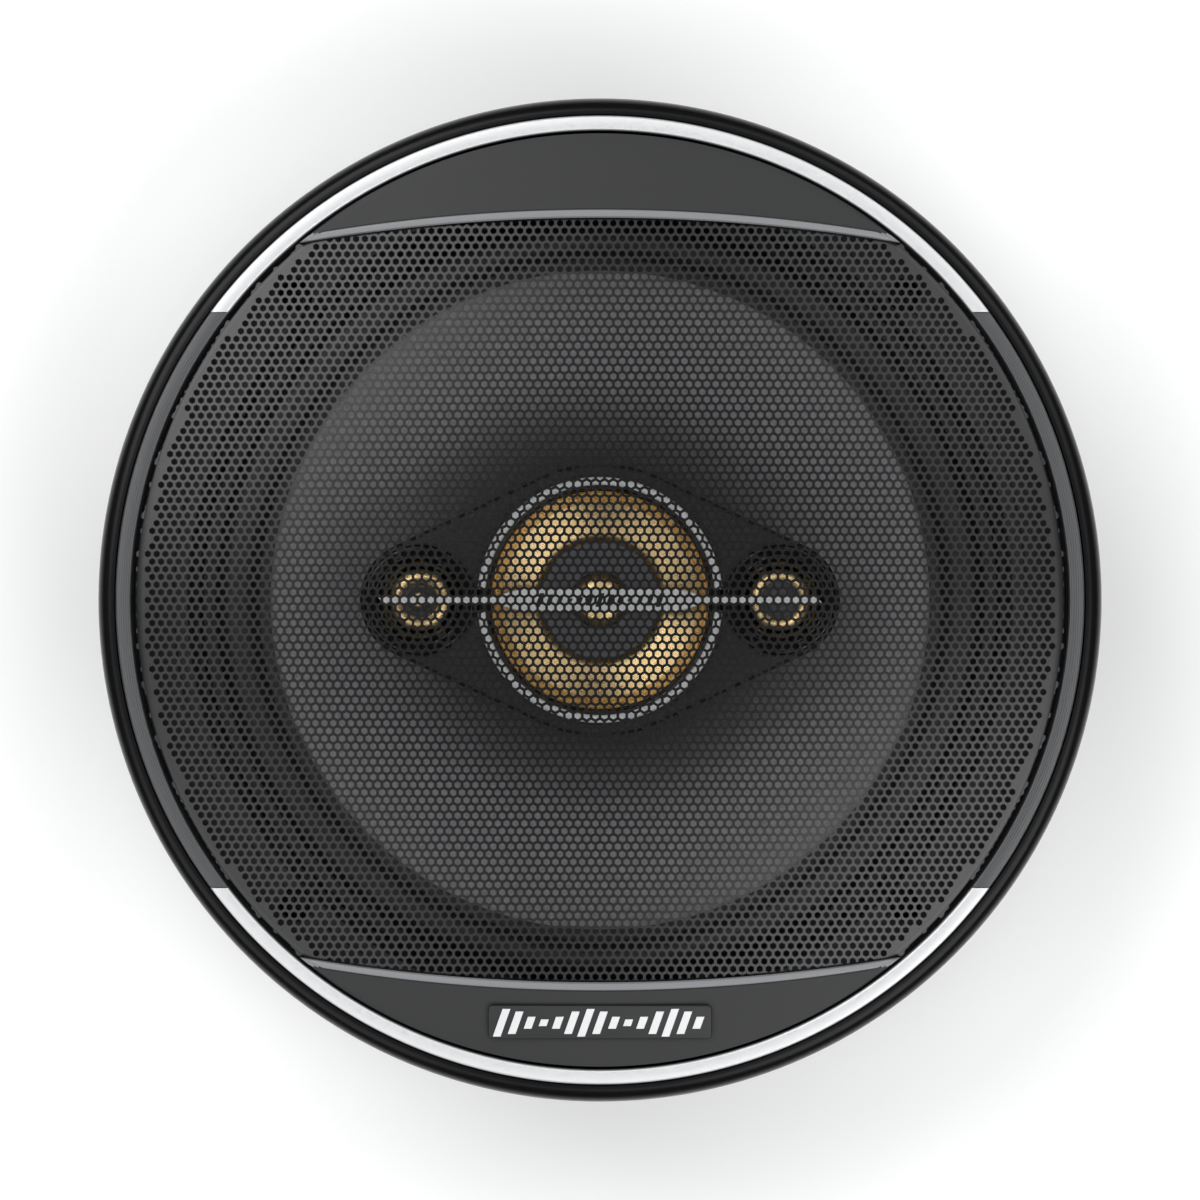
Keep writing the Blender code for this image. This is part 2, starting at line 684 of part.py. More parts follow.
def make_surround():
    outer_edge = SURROUND_RADIUS - SURROUND_OUTER_LAND
    inner_edge = CONE_RADIUS + 2 * GAP
    outer_top = FLANGE_FRONT - LEDGE_DROP + GAP + SURROUND_RUBBER
    inner_top = CONE_EDGE_HEIGHT + GAP + SURROUND_RUBBER
    middle = (outer_edge + inner_edge) / 2
    half_width = (outer_edge - inner_edge) / 2
    points = [(SURROUND_RADIUS, outer_top), (outer_edge, outer_top)]
    for i in range(1, 6):
        turn = math.pi * i / 6
        points.append(
            (
                middle + half_width * math.cos(turn),
                inner_top + (ROLL_HEIGHT - SURROUND_RUBBER) * math.sin(turn),
            )
        )
    points += [(inner_edge, inner_top), (CONE_RADIUS - SURROUND_INNER_LAND, inner_top)]
    finish(turned_shell("surround", points, SURROUND_RUBBER, 1), RUBBER)


def make_cone():
    rings = 6
    points = []
    for i in range(rings + 1):
        radius = CONE_RADIUS - (CONE_RADIUS - NECK_RADIUS) * i / rings
        points.append((radius, cone_height(radius)))
    cone = turned_shell("woofer_cone", points, CONE_PAPER, 1)
    finish(cone, GREY_CONE, woofer_axis)


def make_coil():
    winding_middle = (TOP_PLATE_BASE + TOP_PLATE_TOP) / 2
    winding_low = winding_middle - WINDING_HEIGHT / 2
    winding_high = winding_middle + WINDING_HEIGHT / 2
    former_low = winding_low - FORMER_BELOW_WINDING
    former_high = NECK_HEIGHT + FORMER_ABOVE_NECK
    former = turned_ring(
        "voice_coil_former",
        [
            (FORMER_OUTER, former_high),
            (FORMER_OUTER, former_low),
            (COIL_RADIUS, former_low),
            (COIL_RADIUS, former_high),
        ],
        MOTOR_STEPS,
    )
    finish(former, ALUMINIUM, woofer_axis)
    winding = turned_ring(
        "voice_coil_winding",
        [
            (WINDING_OUTER, winding_high),
            (WINDING_OUTER, winding_low),
            (WINDING_INNER, winding_low),
            (WINDING_INNER, winding_high),
        ],
        MOTOR_STEPS,
    )
    finish(winding, COPPER, woofer_axis)


def make_dust_ring():
    foot = cone_height(DUST_RING_RADIUS) + GAP + CONE_PAPER / 2
    top = foot + DUST_RING_RISE
    inner = POST_RADIUS + DUST_RING_CLEARANCE
    points = [
        (DUST_RING_RADIUS, foot),
        (DUST_RING_RADIUS - DUST_RING_RISE, foot + DUST_RING_RISE * 0.6),
        ((DUST_RING_RADIUS + inner) / 2, top),
        (inner, top),
    ]
    finish(turned_shell("dust_ring", points, CONE_PAPER / 2, 1), GREY_CONE, woofer_axis)


# Terminals on the basket's tab, and the leads.
def make_blade(name, middle, width):
    low = SHELF_TOP + GAP + BOARD_THICKNESS + GAP
    blade = block(
        name,
        (middle - width / 2, -BLADE_END, low),
        (middle + width / 2, -BLADE_START, low + BLADE_THICKNESS),
    )
    hole = rod(
        f"{name}_hole_cutter",
        RIVET_RADIUS + WIRE_GAP,
        low - MM,
        low + BLADE_THICKNESS + MM,
        (middle, -RIVET_LINE),
    )
    boolean(blade, hole)
    finish(blade, TINNED)


def make_rivet(name, middle, low, high, tail_head):
    """A rivet whose head stands on the height high. tail_head adds one below the height low."""
    points = [
        (0, high + RIVET_HEAD),
        (RIVET_HEAD_RADIUS, high + RIVET_HEAD / 2),
        (RIVET_HEAD_RADIUS, high),
        (RIVET_RADIUS, high),
        (RIVET_RADIUS, low),
    ]
    if tail_head:
        points += [(RIVET_HEAD_RADIUS, low), (RIVET_HEAD_RADIUS, low - RIVET_HEAD)]
        low -= RIVET_HEAD
    rivet = turned_solid(name, [*points, (0, low)], 12)
    rivet.location = (middle, -RIVET_LINE, 0)
    finish(rivet, TINNED)


def make_terminals():
    board_low = SHELF_TOP + GAP
    board_high = board_low + BOARD_THICKNESS
    blade_top = board_high + GAP + BLADE_THICKNESS
    board = block(
        "terminal_board",
        (-BOARD_WIDTH / 2, -BOARD_END, board_low),
        (BOARD_WIDTH / 2, -BOARD_START, board_high),
    )
    holes = {
        "board_rivet": (0.0, RIVET_RADIUS + GAP),
        "positive_rivet": (-BLADE_SPREAD, RIVET_RADIUS + WIRE_GAP),
        "negative_rivet": (BLADE_SPREAD, RIVET_RADIUS + WIRE_GAP),
    }
    for name, (middle, radius) in holes.items():
        cutter = rod(
            f"{name}_hole_cutter", radius, board_low - MM, board_high + MM, (middle, -RIVET_LINE)
        )
        boolean(board, cutter)
    finish(board, BROWN_BOARD)
    make_blade("positive_blade", -BLADE_SPREAD, POSITIVE_BLADE_WIDTH)
    make_blade("negative_blade", BLADE_SPREAD, NEGATIVE_BLADE_WIDTH)
    make_rivet("positive_rivet", -BLADE_SPREAD, board_low + GAP, blade_top + GAP, False)
    make_rivet("negative_rivet", BLADE_SPREAD, board_low + GAP, blade_top + GAP, False)
    make_rivet("board_rivet", 0.0, SHELF_TOP - BASKET_SHEET - GAP, board_high + GAP, True)


def make_leads():
    """Two flexible leads, from the blades in over the spider and up to the underside of the cone."""
    blade_top = SHELF_TOP + 2 * GAP + BOARD_THICKNESS + BLADE_THICKNESS
    start = blade_top + GAP + TINSEL_RADIUS
    end = cone_height(TINSEL_CONE_RADIUS) - 2 * CONE_PAPER - GAP - TINSEL_RADIUS
    cone_line = math.sqrt(TINSEL_CONE_RADIUS**2 - TINSEL_CONE_SPREAD**2)
    way = [
        (0.0, start),
        (0.15, start + 0.7 * TINSEL_SLACK),
        (0.37, start + TINSEL_SLACK),
        (0.63, end + 0.2 * TINSEL_SLACK),
        (0.82, end - 0.3 * TINSEL_SLACK),
        (1.0, end),
    ]
    for name, side in (("positive_tinsel_lead", -1), ("negative_tinsel_lead", 1)):
        points = [
            (
                side * (BLADE_SPREAD + (TINSEL_CONE_SPREAD - BLADE_SPREAD) * share),
                -TINSEL_START - (cone_line - TINSEL_START) * share,
                height,
            )
            for share, height in way
        ]
        finish(wire(name, points, TINSEL_RADIUS), COPPER)


def capacitor_height():
    under_rivet = SHELF_TOP - BASKET_SHEET - 2 * GAP - RIVET_HEAD
    return under_rivet - GAP - CAPACITOR_RADIUS


def make_capacitor():
    """The bipolar capacitor of the bridge's crossover, lying under the terminal tab."""
    half = CAPACITOR_LENGTH / 2
    capacitor = turned_solid(
        "crossover_capacitor",
        [
            (0, half),
            (CAPACITOR_RADIUS - CAPACITOR_CHAMFER, half),
            (CAPACITOR_RADIUS, half - CAPACITOR_CHAMFER),
            (CAPACITOR_RADIUS, CAPACITOR_CHAMFER - half),
            (CAPACITOR_RADIUS - CAPACITOR_CHAMFER, -half),
            (0, -half),
        ],
    )
    capacitor.rotation_euler.y = math.pi / 2
    capacitor.location = (0, -CAPACITOR_LINE, capacitor_height())
    finish(capacitor, CAPACITOR_SLEEVE)


def make_bridge_lead():
    """From the capacitor down past the magnet, along the back plate's groove and up the hollow post."""
    bend = BRIDGE_LEAD_BEND
    groove = LEAD_GROOVE_DEPTH / 2
    past_magnet = MAGNET_RADIUS + BRIDGE_LEAD_RADIUS + 3 * GAP
    start = CAPACITOR_LENGTH / 2 + GAP
    height = capacitor_height()
    points = [
        (start, -CAPACITOR_LINE, height),
        (start + bend, -CAPACITOR_LINE, height - 0.4 * bend),
        (start + 0.8 * bend, -CAPACITOR_LINE, height - 1.8 * bend),
        (1.8 * bend, -past_magnet - bend, YOKE_PLATE + 2.6 * bend),
        (0.3 * bend, -past_magnet - 0.2 * bend, YOKE_PLATE + 0.6 * bend),
        (0, -past_magnet + 0.6 * bend, groove + 0.24 * bend),
        (0, -YOKE_RADIUS - GAP, groove),
        (0, -0.7 * YOKE_RADIUS, groove),
        (0, -0.4 * YOKE_RADIUS, groove),
        (0, -2 * bend, groove),
        (0, -0.64 * bend, groove + 0.28 * bend),
        (0, 0, groove + 1.6 * bend),
        (0, 0, NUT_RECESS_DEPTH),
        (0, 0, (NUT_RECESS_DEPTH + POLE_TOP) / 2),
        (0, 0, POLE_TOP),
        (0, 0, (POLE_TOP + BRIDGE_BASE) / 2),
        (0, 0, MID_BASE),
    ]
    finish(wire("bridge_lead", points, BRIDGE_LEAD_RADIUS), GRAINED_BLACK)


# Post that carries the bridge, clamped to the pole by a nut from behind.
def make_post():
    head_top = BRIDGE_BASE - GAP
    spigot_end = NUT_RECESS_DEPTH - NUT_HEIGHT - 3 * GAP
    post = turned_ring(
        "bridge_post",
        [
            (POST_HEAD_RADIUS, head_top),
            (POST_HEAD_RADIUS, head_top - POST_HEAD),
            (POST_RADIUS, head_top - 2 * POST_HEAD),
            (POST_RADIUS, POLE_TOP + GAP),
            (POST_SPIGOT, POLE_TOP + GAP),
            (POST_SPIGOT, spigot_end),
            (POST_BORE, spigot_end),
            (POST_BORE, head_top),
        ],
        MOTOR_STEPS,
    )
    finish(post, ALUMINIUM)
    nut_high = NUT_RECESS_DEPTH - GAP
    nut = rod("post_nut", NUT_ACROSS_CORNERS / 2, nut_high - NUT_HEIGHT, nut_high, segments=6)
    hole = rod(
        "nut_hole_cutter",
        POST_SPIGOT + GAP,
        nut_high - NUT_HEIGHT - MM,
        nut_high + MM,
        segments=MOTOR_STEPS,
    )
    boolean(nut, hole)
    finish(nut, ZINC_STEEL)


# Bridge: the carrier of the three small drivers.
def bridge_outline():
    """The hull of the hub and the two round ends."""
    tangent = math.acos((BRIDGE_HUB_RADIUS - BRIDGE_END_RADIUS) / TWEETER_SPREAD)
    right, left = (TWEETER_SPREAD, 0.0), (-TWEETER_SPREAD, 0.0)
    return [
        *arc(BRIDGE_END_RADIUS, -tangent, tangent, 8, right),
        *arc(BRIDGE_HUB_RADIUS, tangent, math.pi - tangent, 6),
        *arc(BRIDGE_END_RADIUS, math.pi - tangent, math.pi + tangent, 8, left),
        *arc(BRIDGE_HUB_RADIUS, math.pi + tangent, 2 * math.pi - tangent, 6),
    ]


def make_bridge():
    bridge = plate("bridge_body", bridge_outline(), BRIDGE_BASE, BRIDGE_TOP)
    bevel = bridge.modifiers.new("Edges", "BEVEL")
    bevel.width = 0.8 * MM
    bevel.segments = 1
    bevel.limit_method = "ANGLE"
    bevel.angle_limit = math.radians(60)
    floor = BRIDGE_BASE + BRIDGE_FLOOR
    past_top = BRIDGE_TOP + MM
    hub = rod("hub_pocket_cutter", MID_RADIUS + GAP, floor, past_top, segments=MOTOR_STEPS)
    boolean(bridge, hub)
    for name, side in (("left", -1), ("right", 1)):
        centre = (side * TWEETER_SPREAD, 0)
        pocket = rod(
            f"{name}_pocket_cutter", CUP_RADIUS + GAP, floor, past_top, centre, SMALL_STEPS
        )
        boolean(bridge, pocket)
    wire_hole = rod("bridge_wire_hole_cutter", POST_BORE, BRIDGE_BASE - MM, floor + MM)
    boolean(bridge, wire_hole)
    finish(bridge, GRAINED_BLACK)


def make_midrange_motor(floor_top):
    """The small driver's cup, magnet and pole plate. It returns the height of the plate's face."""
    yoke_floor = floor_top + GAP + MID_YOKE_SHEET
    magnet_base = yoke_floor + GAP
    magnet_top = magnet_base + MID_MAGNET_HEIGHT
    plate_base = magnet_top + GAP
    plate_top = plate_base + MID_PLATE
    yoke_inside = MID_YOKE_RADIUS - MID_YOKE_WALL
    yoke = turned_solid(
        "midrange_yoke",
        [
            (0, yoke_floor),
            (yoke_inside, yoke_floor),
            (yoke_inside, plate_top),
            (MID_YOKE_RADIUS, plate_top),
            (MID_YOKE_RADIUS, floor_top + GAP),
            (0, floor_top + GAP),
        ],
    )
    finish(yoke, ZINC_STEEL)
    magnet = rod("midrange_magnet", MID_MAGNET_RADIUS, magnet_base, magnet_top, segments=SMALL_STEPS)
    finish(magnet, ZINC_STEEL)
    plate_radius = MID_COIL_RADIUS - COIL_GAP
    pole_plate = rod(
        "midrange_pole_plate", plate_radius, plate_base, plate_top, segments=SMALL_STEPS
    )
    finish(pole_plate, ZINC_STEEL)
    return plate_top


def make_midrange_diaphragm(plate_top):
    cone_foot = plate_top + MID_CONE_LIFT
    coil = turned_ring(
        "midrange_voice_coil",
        [
            (MID_COIL_RADIUS + MID_COIL_WALL, cone_foot - GAP),
            (MID_COIL_RADIUS + MID_COIL_WALL, cone_foot - MID_COIL_HEIGHT),
            (MID_COIL_RADIUS, cone_foot - MID_COIL_HEIGHT),
            (MID_COIL_RADIUS, cone_foot - GAP),
        ],
        SMALL_STEPS,
    )
    finish(coil, COPPER, mid_axis)
    rim = MID_TOP - MID_CONE_DROP
    roll_radius = MID_CONE_RADIUS - MID_ROLL_WIDTH
    roll_height = rim - MID_ROLL_DROP
    inner_top = cone_foot + MID_FILM
    flare = MID_COIL_RADIUS + 2.5 * MID_COIL_WALL
    points = [(MID_CONE_RADIUS, rim), (roll_radius, roll_height)]
    for share in (0.66, 0.33):
        radius = flare + (roll_radius - flare) * share
        points.append((radius, inner_top + (roll_height - inner_top) * share**MID_CONE_CURVE))
    points += [(flare, inner_top), (MID_COIL_RADIUS, inner_top)]
    cone = turned_shell("midrange_cone", points, MID_FILM, 1, MOTOR_STEPS)
    finish(cone, GOLD_FILM, mid_axis)


def make_midrange_plug(plate_top):
    """The fixed plug in the middle of the cone, a flat ring on a stem, and the insert in its bore."""
    plug_top = MID_TOP - GAP
    height = plug_top - plate_top
    bore_floor = plate_top + 0.45 * height
    plug = turned_solid(
        "midrange_plug",
        [
            (0, bore_floor),
            (PLUG_BORE, bore_floor),
            (PLUG_BORE, plug_top),
            (PLUG_RADIUS, plug_top),
            (PLUG_RADIUS, plug_top - PLUG_LIP),
            (PLUG_STEM, plate_top + height / 2),
            (PLUG_STEM, plate_top + GAP),
            (0, plate_top + GAP),
        ],
    )
    finish(plug, GREY_PLASTIC)
    base = bore_floor + GAP
    radius = PLUG_BORE - GAP
    rise = plug_top - PLUG_INSERT_DROP - base
    insert = turned_solid(
        "midrange_plug_insert",
        [
            (0, base + rise),
            (0.5 * radius, base + 0.85 * rise),
            (0.85 * radius, base + 0.45 * rise),
            (radius, base + 0.1 * rise),
            (radius, base),
            (0, base),
        ],
    )
    finish(insert, GOLD_FILM)


def make_midrange():
    floor_top = MID_BASE + MID_FLOOR
    inside = MID_CONE_RADIUS + COIL_GAP
    ledge = MID_TOP - MID_LEDGE_DROP
    housing = turned_ring(
        "midrange_housing",
        [
            (MID_RADIUS, MID_TOP),
            (MID_RADIUS, MID_BASE),
            (POST_BORE, MID_BASE),
            (POST_BORE, floor_top),
            (inside - MID_LEDGE_WIDTH, floor_top),
            (inside - MID_LEDGE_WIDTH, ledge),
            (inside, ledge),
            (inside, MID_TOP),
        ],
        MOTOR_STEPS,
    )
    finish(housing, GLOSS_BLACK)
    plate_top = make_midrange_motor(floor_top)
    make_midrange_diaphragm(plate_top)
    make_midrange_plug(plate_top)


def make_silver_rings():
    inner = SILVER_RING_RADIUS - SILVER_RING_WIDTH
    start = math.asin(SILVER_RING_HALF_GAP / inner)
    for name, turn in (("silver_ring_upper", 0.0), ("silver_ring_lower", math.pi)):
        low, high = turn + start, turn + math.pi - start
        outline = arc(inner, low, high, 16) + arc(SILVER_RING_RADIUS, high, low, 16)
        base = MID_TOP + GAP
        finish(plate(name, outline, base, base + SILVER_RING_HEIGHT), SILVER)


def make_name_bar():
    """A straight bar with a wider middle, which crosses in the gaps between the silver rings."""
    half = [
        (BAR_HALF_LENGTH, -BAR_END_HALF_WIDTH),
        (BAR_HALF_LENGTH - BAR_END_SLANT, BAR_END_HALF_WIDTH),
        (BAR_TAPER_END, BAR_END_HALF_WIDTH),
        (BAR_MIDDLE_HALF_LENGTH, BAR_MIDDLE_HALF_WIDTH),
        (-BAR_MIDDLE_HALF_LENGTH, BAR_MIDDLE_HALF_WIDTH),
        (-BAR_TAPER_END, BAR_END_HALF_WIDTH),
    ]
    outline = half + [(-x, -y) for x, y in half]
    finish(plate("name_bar", outline, BAR_BASE, BAR_TOP), SILVER)


def make_tweeter(side_name, side, axis, plug_radius):
    cup_low = CUP_TOP - CUP_DEPTH
    cup_floor = cup_low + CUP_FLOOR
    cup = turned_solid(
        f"{side_name}_tweeter_cup",
        [
            (0, cup_floor),
            (CUP_THROAT, cup_floor),
            (CUP_THROAT, cup_floor + CUP_THROAT_HEIGHT),
            (CUP_THROAT + CUP_HORN_STEP, CUP_TOP - CUP_HORN_DEPTH),
            (CUP_MOUTH, CUP_TOP),
            (CUP_RIM_RADIUS, CUP_TOP),
            (CUP_RIM_RADIUS, CUP_TOP - CUP_RIM),
            (CUP_RADIUS, CUP_TOP - CUP_RIM),
            (CUP_RADIUS, cup_low),
            (0, cup_low),
        ],
    )
    magnet_base = cup_floor + GAP
    magnet_top = magnet_base + TWEETER_MAGNET_HEIGHT
    magnet = rod(
        f"{side_name}_tweeter_magnet",
        TWEETER_MAGNET_RADIUS,
        magnet_base,
        magnet_top,
        segments=SMALL_STEPS,
    )
    dome_foot = magnet_top + TWEETER_DOME_LIFT
    dome = turned_shell(
        f"{side_name}_tweeter_diaphragm",
        [
            (TWEETER_DOME_RADIUS, dome_foot),
            (0.84 * TWEETER_DOME_RADIUS, dome_foot + TWEETER_DOME_RISE),
            (0.64 * TWEETER_DOME_RADIUS, dome_foot + 0.43 * TWEETER_DOME_RISE),
            (TWEETER_STEM + 2 * GAP, dome_foot),
        ],
        TWEETER_FILM,
        1,
        SMALL_STEPS,
    )
    head_low = dome_foot + TWEETER_DOME_RISE + TWEETER_FILM + GAP
    head_high = CUP_TOP - TWEETER_PLUG_DROP
    plug = turned_solid(
        f"{side_name}_tweeter_plug",
        [
            (0, head_high),
            (0.7 * plug_radius, head_high - 0.3 * (head_high - head_low)),
            (plug_radius, head_low + 0.3 * (head_high - head_low)),
            (plug_radius, head_low),
            (TWEETER_STEM, head_low),
            (TWEETER_STEM, magnet_top + GAP),
            (0, magnet_top + GAP),
        ],
        12,
    )
    looks = ((cup, GLOSS_BLACK), (magnet, ZINC_STEEL), (dome, GOLD_FILM), (plug, GREY_PLASTIC))
    for obj, look in looks:
        obj.location.x = side * TWEETER_SPREAD
        finish(obj, look, axis if obj is dome else speaker)


# Grille: the base ring stays with the basket, and the rest lifts off as one.
def make_base_ring():
    channel_top = FLANGE_FRONT + RIM_LIP + LIP_CLEARANCE
    ring = turned_ring(
        "grille_base_ring",
        [
            (BASE_RING_OUTER, BASE_RING_TOP),
            (BASE_RING_OUTER, MOUNT_DEPTH + GAP),
            (FLANGE_RADIUS + LIP_CLEARANCE, MOUNT_DEPTH + GAP),
            (FLANGE_RADIUS + LIP_CLEARANCE, channel_top),
            (FLANGE_RADIUS - BASKET_SHEET - LIP_CLEARANCE, channel_top),
            (FLANGE_RADIUS - BASKET_SHEET - LIP_CLEARANCE - 0.5 * MM, BASE_RING_SEAT),
            (BASE_RING_INNER, BASE_RING_SEAT),
            (BASE_RING_INNER, BASE_RING_TOP - BASE_RING_STEP),
            (BASE_RING_LAND, BASE_RING_TOP - BASE_RING_STEP),
            (BASE_RING_LAND, BASE_RING_TOP),
        ],
    )
    for number in range(4):
        angle = math.pi / 4 + number * math.pi / 2
        centre = (SLOT_CENTRE * math.cos(angle), SLOT_CENTRE * math.sin(angle))
        past_top = BASE_RING_TOP + MM
        shank = rod(
            f"screw_hole_cutter_{number}", SCREW_HOLE_RADIUS, BASE_RING_SEAT - MM, past_top, centre, 12
        )
        head_floor = BASE_RING_TOP - SCREW_HEAD_DEPTH
        head = rod(
            f"screw_head_cutter_{number}", SCREW_HEAD_RADIUS, head_floor, past_top, centre, 12
        )
        boolean(ring, shank)
        boolean(ring, head)
    finish(ring, GREY_PLASTIC)


def trim_levels():
    """Heights of the trim frame's band and of its foot."""
    band_top = dome_height(TRIM_INNER) + TRIM_ABOVE_MESH
    return band_top, band_top - TRIM_HEIGHT


def make_outer_ring():
    band_top, trim_foot = trim_levels()
    inner = TRIM_OUTER + GAP
    ledge_top = trim_foot - GAP
    ledge_inner = TRIM_OUTER - TRIM_SKIRT_WALL - GAP
    wall_inner = GRILLE_RADIUS - GRILLE_WALL
    ring = turned_ring(
        "grille_outer_ring",
        [
            (inner, band_top + GAP),
            (inner + 0.55 * SHOULDER_WIDTH, band_top - 0.2 * SHOULDER_DROP),
            (inner + 0.87 * SHOULDER_WIDTH, band_top - 0.5 * SHOULDER_DROP),
            (GRILLE_RADIUS, band_top - SHOULDER_DROP),
            (GRILLE_RADIUS, MOUNT_DEPTH + GAP),
            (wall_inner, MOUNT_DEPTH + GAP),
            (wall_inner, ledge_top - GRILLE_LEDGE),
            (ledge_inner, ledge_top - GRILLE_LEDGE),
            (ledge_inner, ledge_top),
            (inner, ledge_top),
        ],
    )
    finish(ring, GLOSS_BLACK, grille_axis)


def crescent_cut_outline():
    """The opening of the trim frame: a circle cut off above and below by two shallow arcs."""
    radius = TRIM_INNER + GAP / 2
    centre = CRESCENT_EDGE - CRESCENT_EDGE_RADIUS
    corner_y = (radius**2 - CRESCENT_EDGE_RADIUS**2 + centre**2) / (2 * centre)
    corner_x = math.sqrt(radius**2 - corner_y**2)
    half_angle = math.asin(corner_x / CRESCENT_EDGE_RADIUS)
    top_edge = arc(
        CRESCENT_EDGE_RADIUS, math.pi / 2 - half_angle, math.pi / 2 + half_angle, 12, (0, centre)
    )
    corner_angle = math.atan2(corner_y, corner_x)
    facet = 2 * math.pi / LARGE_STEPS
    left_side = [
        (radius * math.cos(i * facet), radius * math.sin(i * facet))
        for i in range(LARGE_STEPS)
        if math.pi - corner_angle < i * facet < math.pi + corner_angle
    ]
    half = [*top_edge, *left_side]
    return half + [(-x, -y) for x, y in half]


def make_trim_frame():
    band_top, foot = trim_levels()
    cover = GAP + CRESCENT_THICKNESS
    groove_outer = TRIM_INNER
    groove_inner = TRIM_INNER - CRESCENT_GROOVE
    groove_floor = dome_height(groove_outer) + GAP + CRESCENT_THICKNESS / 2
    skirt_inner = TRIM_OUTER - TRIM_SKIRT_WALL
    blank_inner = CRESCENT_EDGE - SHOULDER_DROP
    radii = [blank_inner + (groove_inner - blank_inner) * i / 3 for i in range(4)]
    frame = turned_ring(
        "grille_trim_frame",
        [
            *[(radius, dome_height(radius) + cover) for radius in radii],
            (groove_inner, groove_floor),
            (groove_outer, groove_floor),
            (groove_outer, band_top),
            (TRIM_OUTER, band_top),
            (TRIM_OUTER, foot),
            (skirt_inner, foot),
            (skirt_inner, band_top - TRIM_COLLAR),
            (groove_outer, band_top - TRIM_COLLAR),
            (groove_outer, dome_height(groove_inner) + GAP),
            *[(radius, dome_height(radius) + GAP) for radius in radii[-2::-1]],
        ],
    )
    low, high = foot - MM, DOME_CROWN + 3 * MM
    boolean(frame, plate("trim_opening_cutter", crescent_cut_outline(), low, high))
    finish(frame, GREY_PLASTIC, grille_axis)


def make_mesh():
    edge = dome_height(MESH_RADIUS)
    points = [(MESH_RADIUS * i / 5, dome_height(MESH_RADIUS * i / 5)) for i in range(5)]
    points += [
        (MESH_RADIUS - 0.8 * MM, edge),
        (MESH_RADIUS, edge - 0.8 * MM),
        (MESH_RADIUS, edge - MESH_SKIRT),
    ]
    mesh = turned_shell("grille_mesh", points, MESH_SHEET, -1)
    finish(mesh, BLACK_MESH, grille_axis)


def make_silver_arcs():
    base = trim_levels()[0] + GAP
    inner = TRIM_INNER + GAP
    low = math.asin(SILVER_ARC_END / TRIM_OUTER)
    inner_low = math.asin(SILVER_ARC_END / inner)
    for name, turn in (("silver_arc_upper", 0.0), ("silver_arc_lower", math.pi)):
        outline = arc(TRIM_OUTER, turn + low, turn + math.pi - low, 16)
        outline += arc(inner, turn + math.pi - inner_low, turn + inner_low, 16)
        finish(plate(name, outline, base, base + SILVER_ARC_HEIGHT), SILVER, grille_axis)


def make_badge():
    """A blank plate on the lower crescent, tilted to lie along its slope."""
    cover = GAP + CRESCENT_THICKNESS
    slope = math.asin(BADGE_LINE / DOME_RADIUS)
    lift = cover + GAP + BADGE_THICKNESS / 2
    half = Vector((BADGE_LENGTH / 2, BADGE_WIDTH / 2, BADGE_THICKNESS / 2))
    badge = block("badge", -half, half)
    badge.rotation_euler.x = slope
    badge.location = (0, -BADGE_LINE, dome_height(BADGE_LINE) + lift)
    bevel = badge.modifiers.new("Edges", "BEVEL")
    bevel.width = BADGE_EDGE
    bevel.segments = 1
    finish(badge, SILVER, grille_axis)


make_motor()
make_basket()
make_spider()
make_surround()
make_cone()
make_coil()
make_dust_ring()
make_terminals()
make_leads()
make_capacitor()
make_bridge_lead()
make_post()
make_bridge()
make_midrange()
make_silver_rings()
make_name_bar()
make_tweeter("left", -1, left_axis, LEFT_PLUG_RADIUS)
make_tweeter("right", 1, right_axis, RIGHT_PLUG_RADIUS)
make_base_ring()
make_outer_ring()
make_trim_frame()
make_mesh()
make_silver_arcs()
make_badge()
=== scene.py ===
"""The looks of a 17 cm four-way coaxial car speaker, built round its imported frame.

Metres, in the frame's own axes: +Z is the way the sound goes, +X runs along the bridge, and the terminals
are at -Y. The sections follow the speaker as it is put together, from the back plate to the grille.
"""

import math

import bmesh
import bpy
from mathutils import Matrix, Vector


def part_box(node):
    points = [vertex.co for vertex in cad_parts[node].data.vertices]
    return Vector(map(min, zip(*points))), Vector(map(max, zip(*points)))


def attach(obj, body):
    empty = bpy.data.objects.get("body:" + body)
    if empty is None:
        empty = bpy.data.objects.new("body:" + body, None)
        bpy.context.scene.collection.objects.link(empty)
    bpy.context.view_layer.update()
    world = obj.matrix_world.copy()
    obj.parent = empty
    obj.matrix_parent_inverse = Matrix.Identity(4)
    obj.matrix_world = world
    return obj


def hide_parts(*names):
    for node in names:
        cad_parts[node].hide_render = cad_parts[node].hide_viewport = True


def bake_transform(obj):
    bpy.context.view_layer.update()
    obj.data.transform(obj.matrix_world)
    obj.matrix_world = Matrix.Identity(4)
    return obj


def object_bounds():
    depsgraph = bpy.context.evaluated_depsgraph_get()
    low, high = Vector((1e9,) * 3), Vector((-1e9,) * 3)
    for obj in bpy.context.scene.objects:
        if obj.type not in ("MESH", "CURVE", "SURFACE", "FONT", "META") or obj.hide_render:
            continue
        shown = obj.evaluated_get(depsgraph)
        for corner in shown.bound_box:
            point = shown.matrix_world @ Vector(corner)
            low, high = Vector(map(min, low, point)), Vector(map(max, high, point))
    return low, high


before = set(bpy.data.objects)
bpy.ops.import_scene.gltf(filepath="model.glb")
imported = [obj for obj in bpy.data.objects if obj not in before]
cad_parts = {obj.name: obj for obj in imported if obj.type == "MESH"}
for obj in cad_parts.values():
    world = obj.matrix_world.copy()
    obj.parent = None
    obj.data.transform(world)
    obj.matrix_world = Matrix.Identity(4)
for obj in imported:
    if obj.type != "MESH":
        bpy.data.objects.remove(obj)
cad_low, cad_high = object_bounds()

MM = 0.001
GAP = 0.3 * MM  # the frame leaves this between pieces that touch


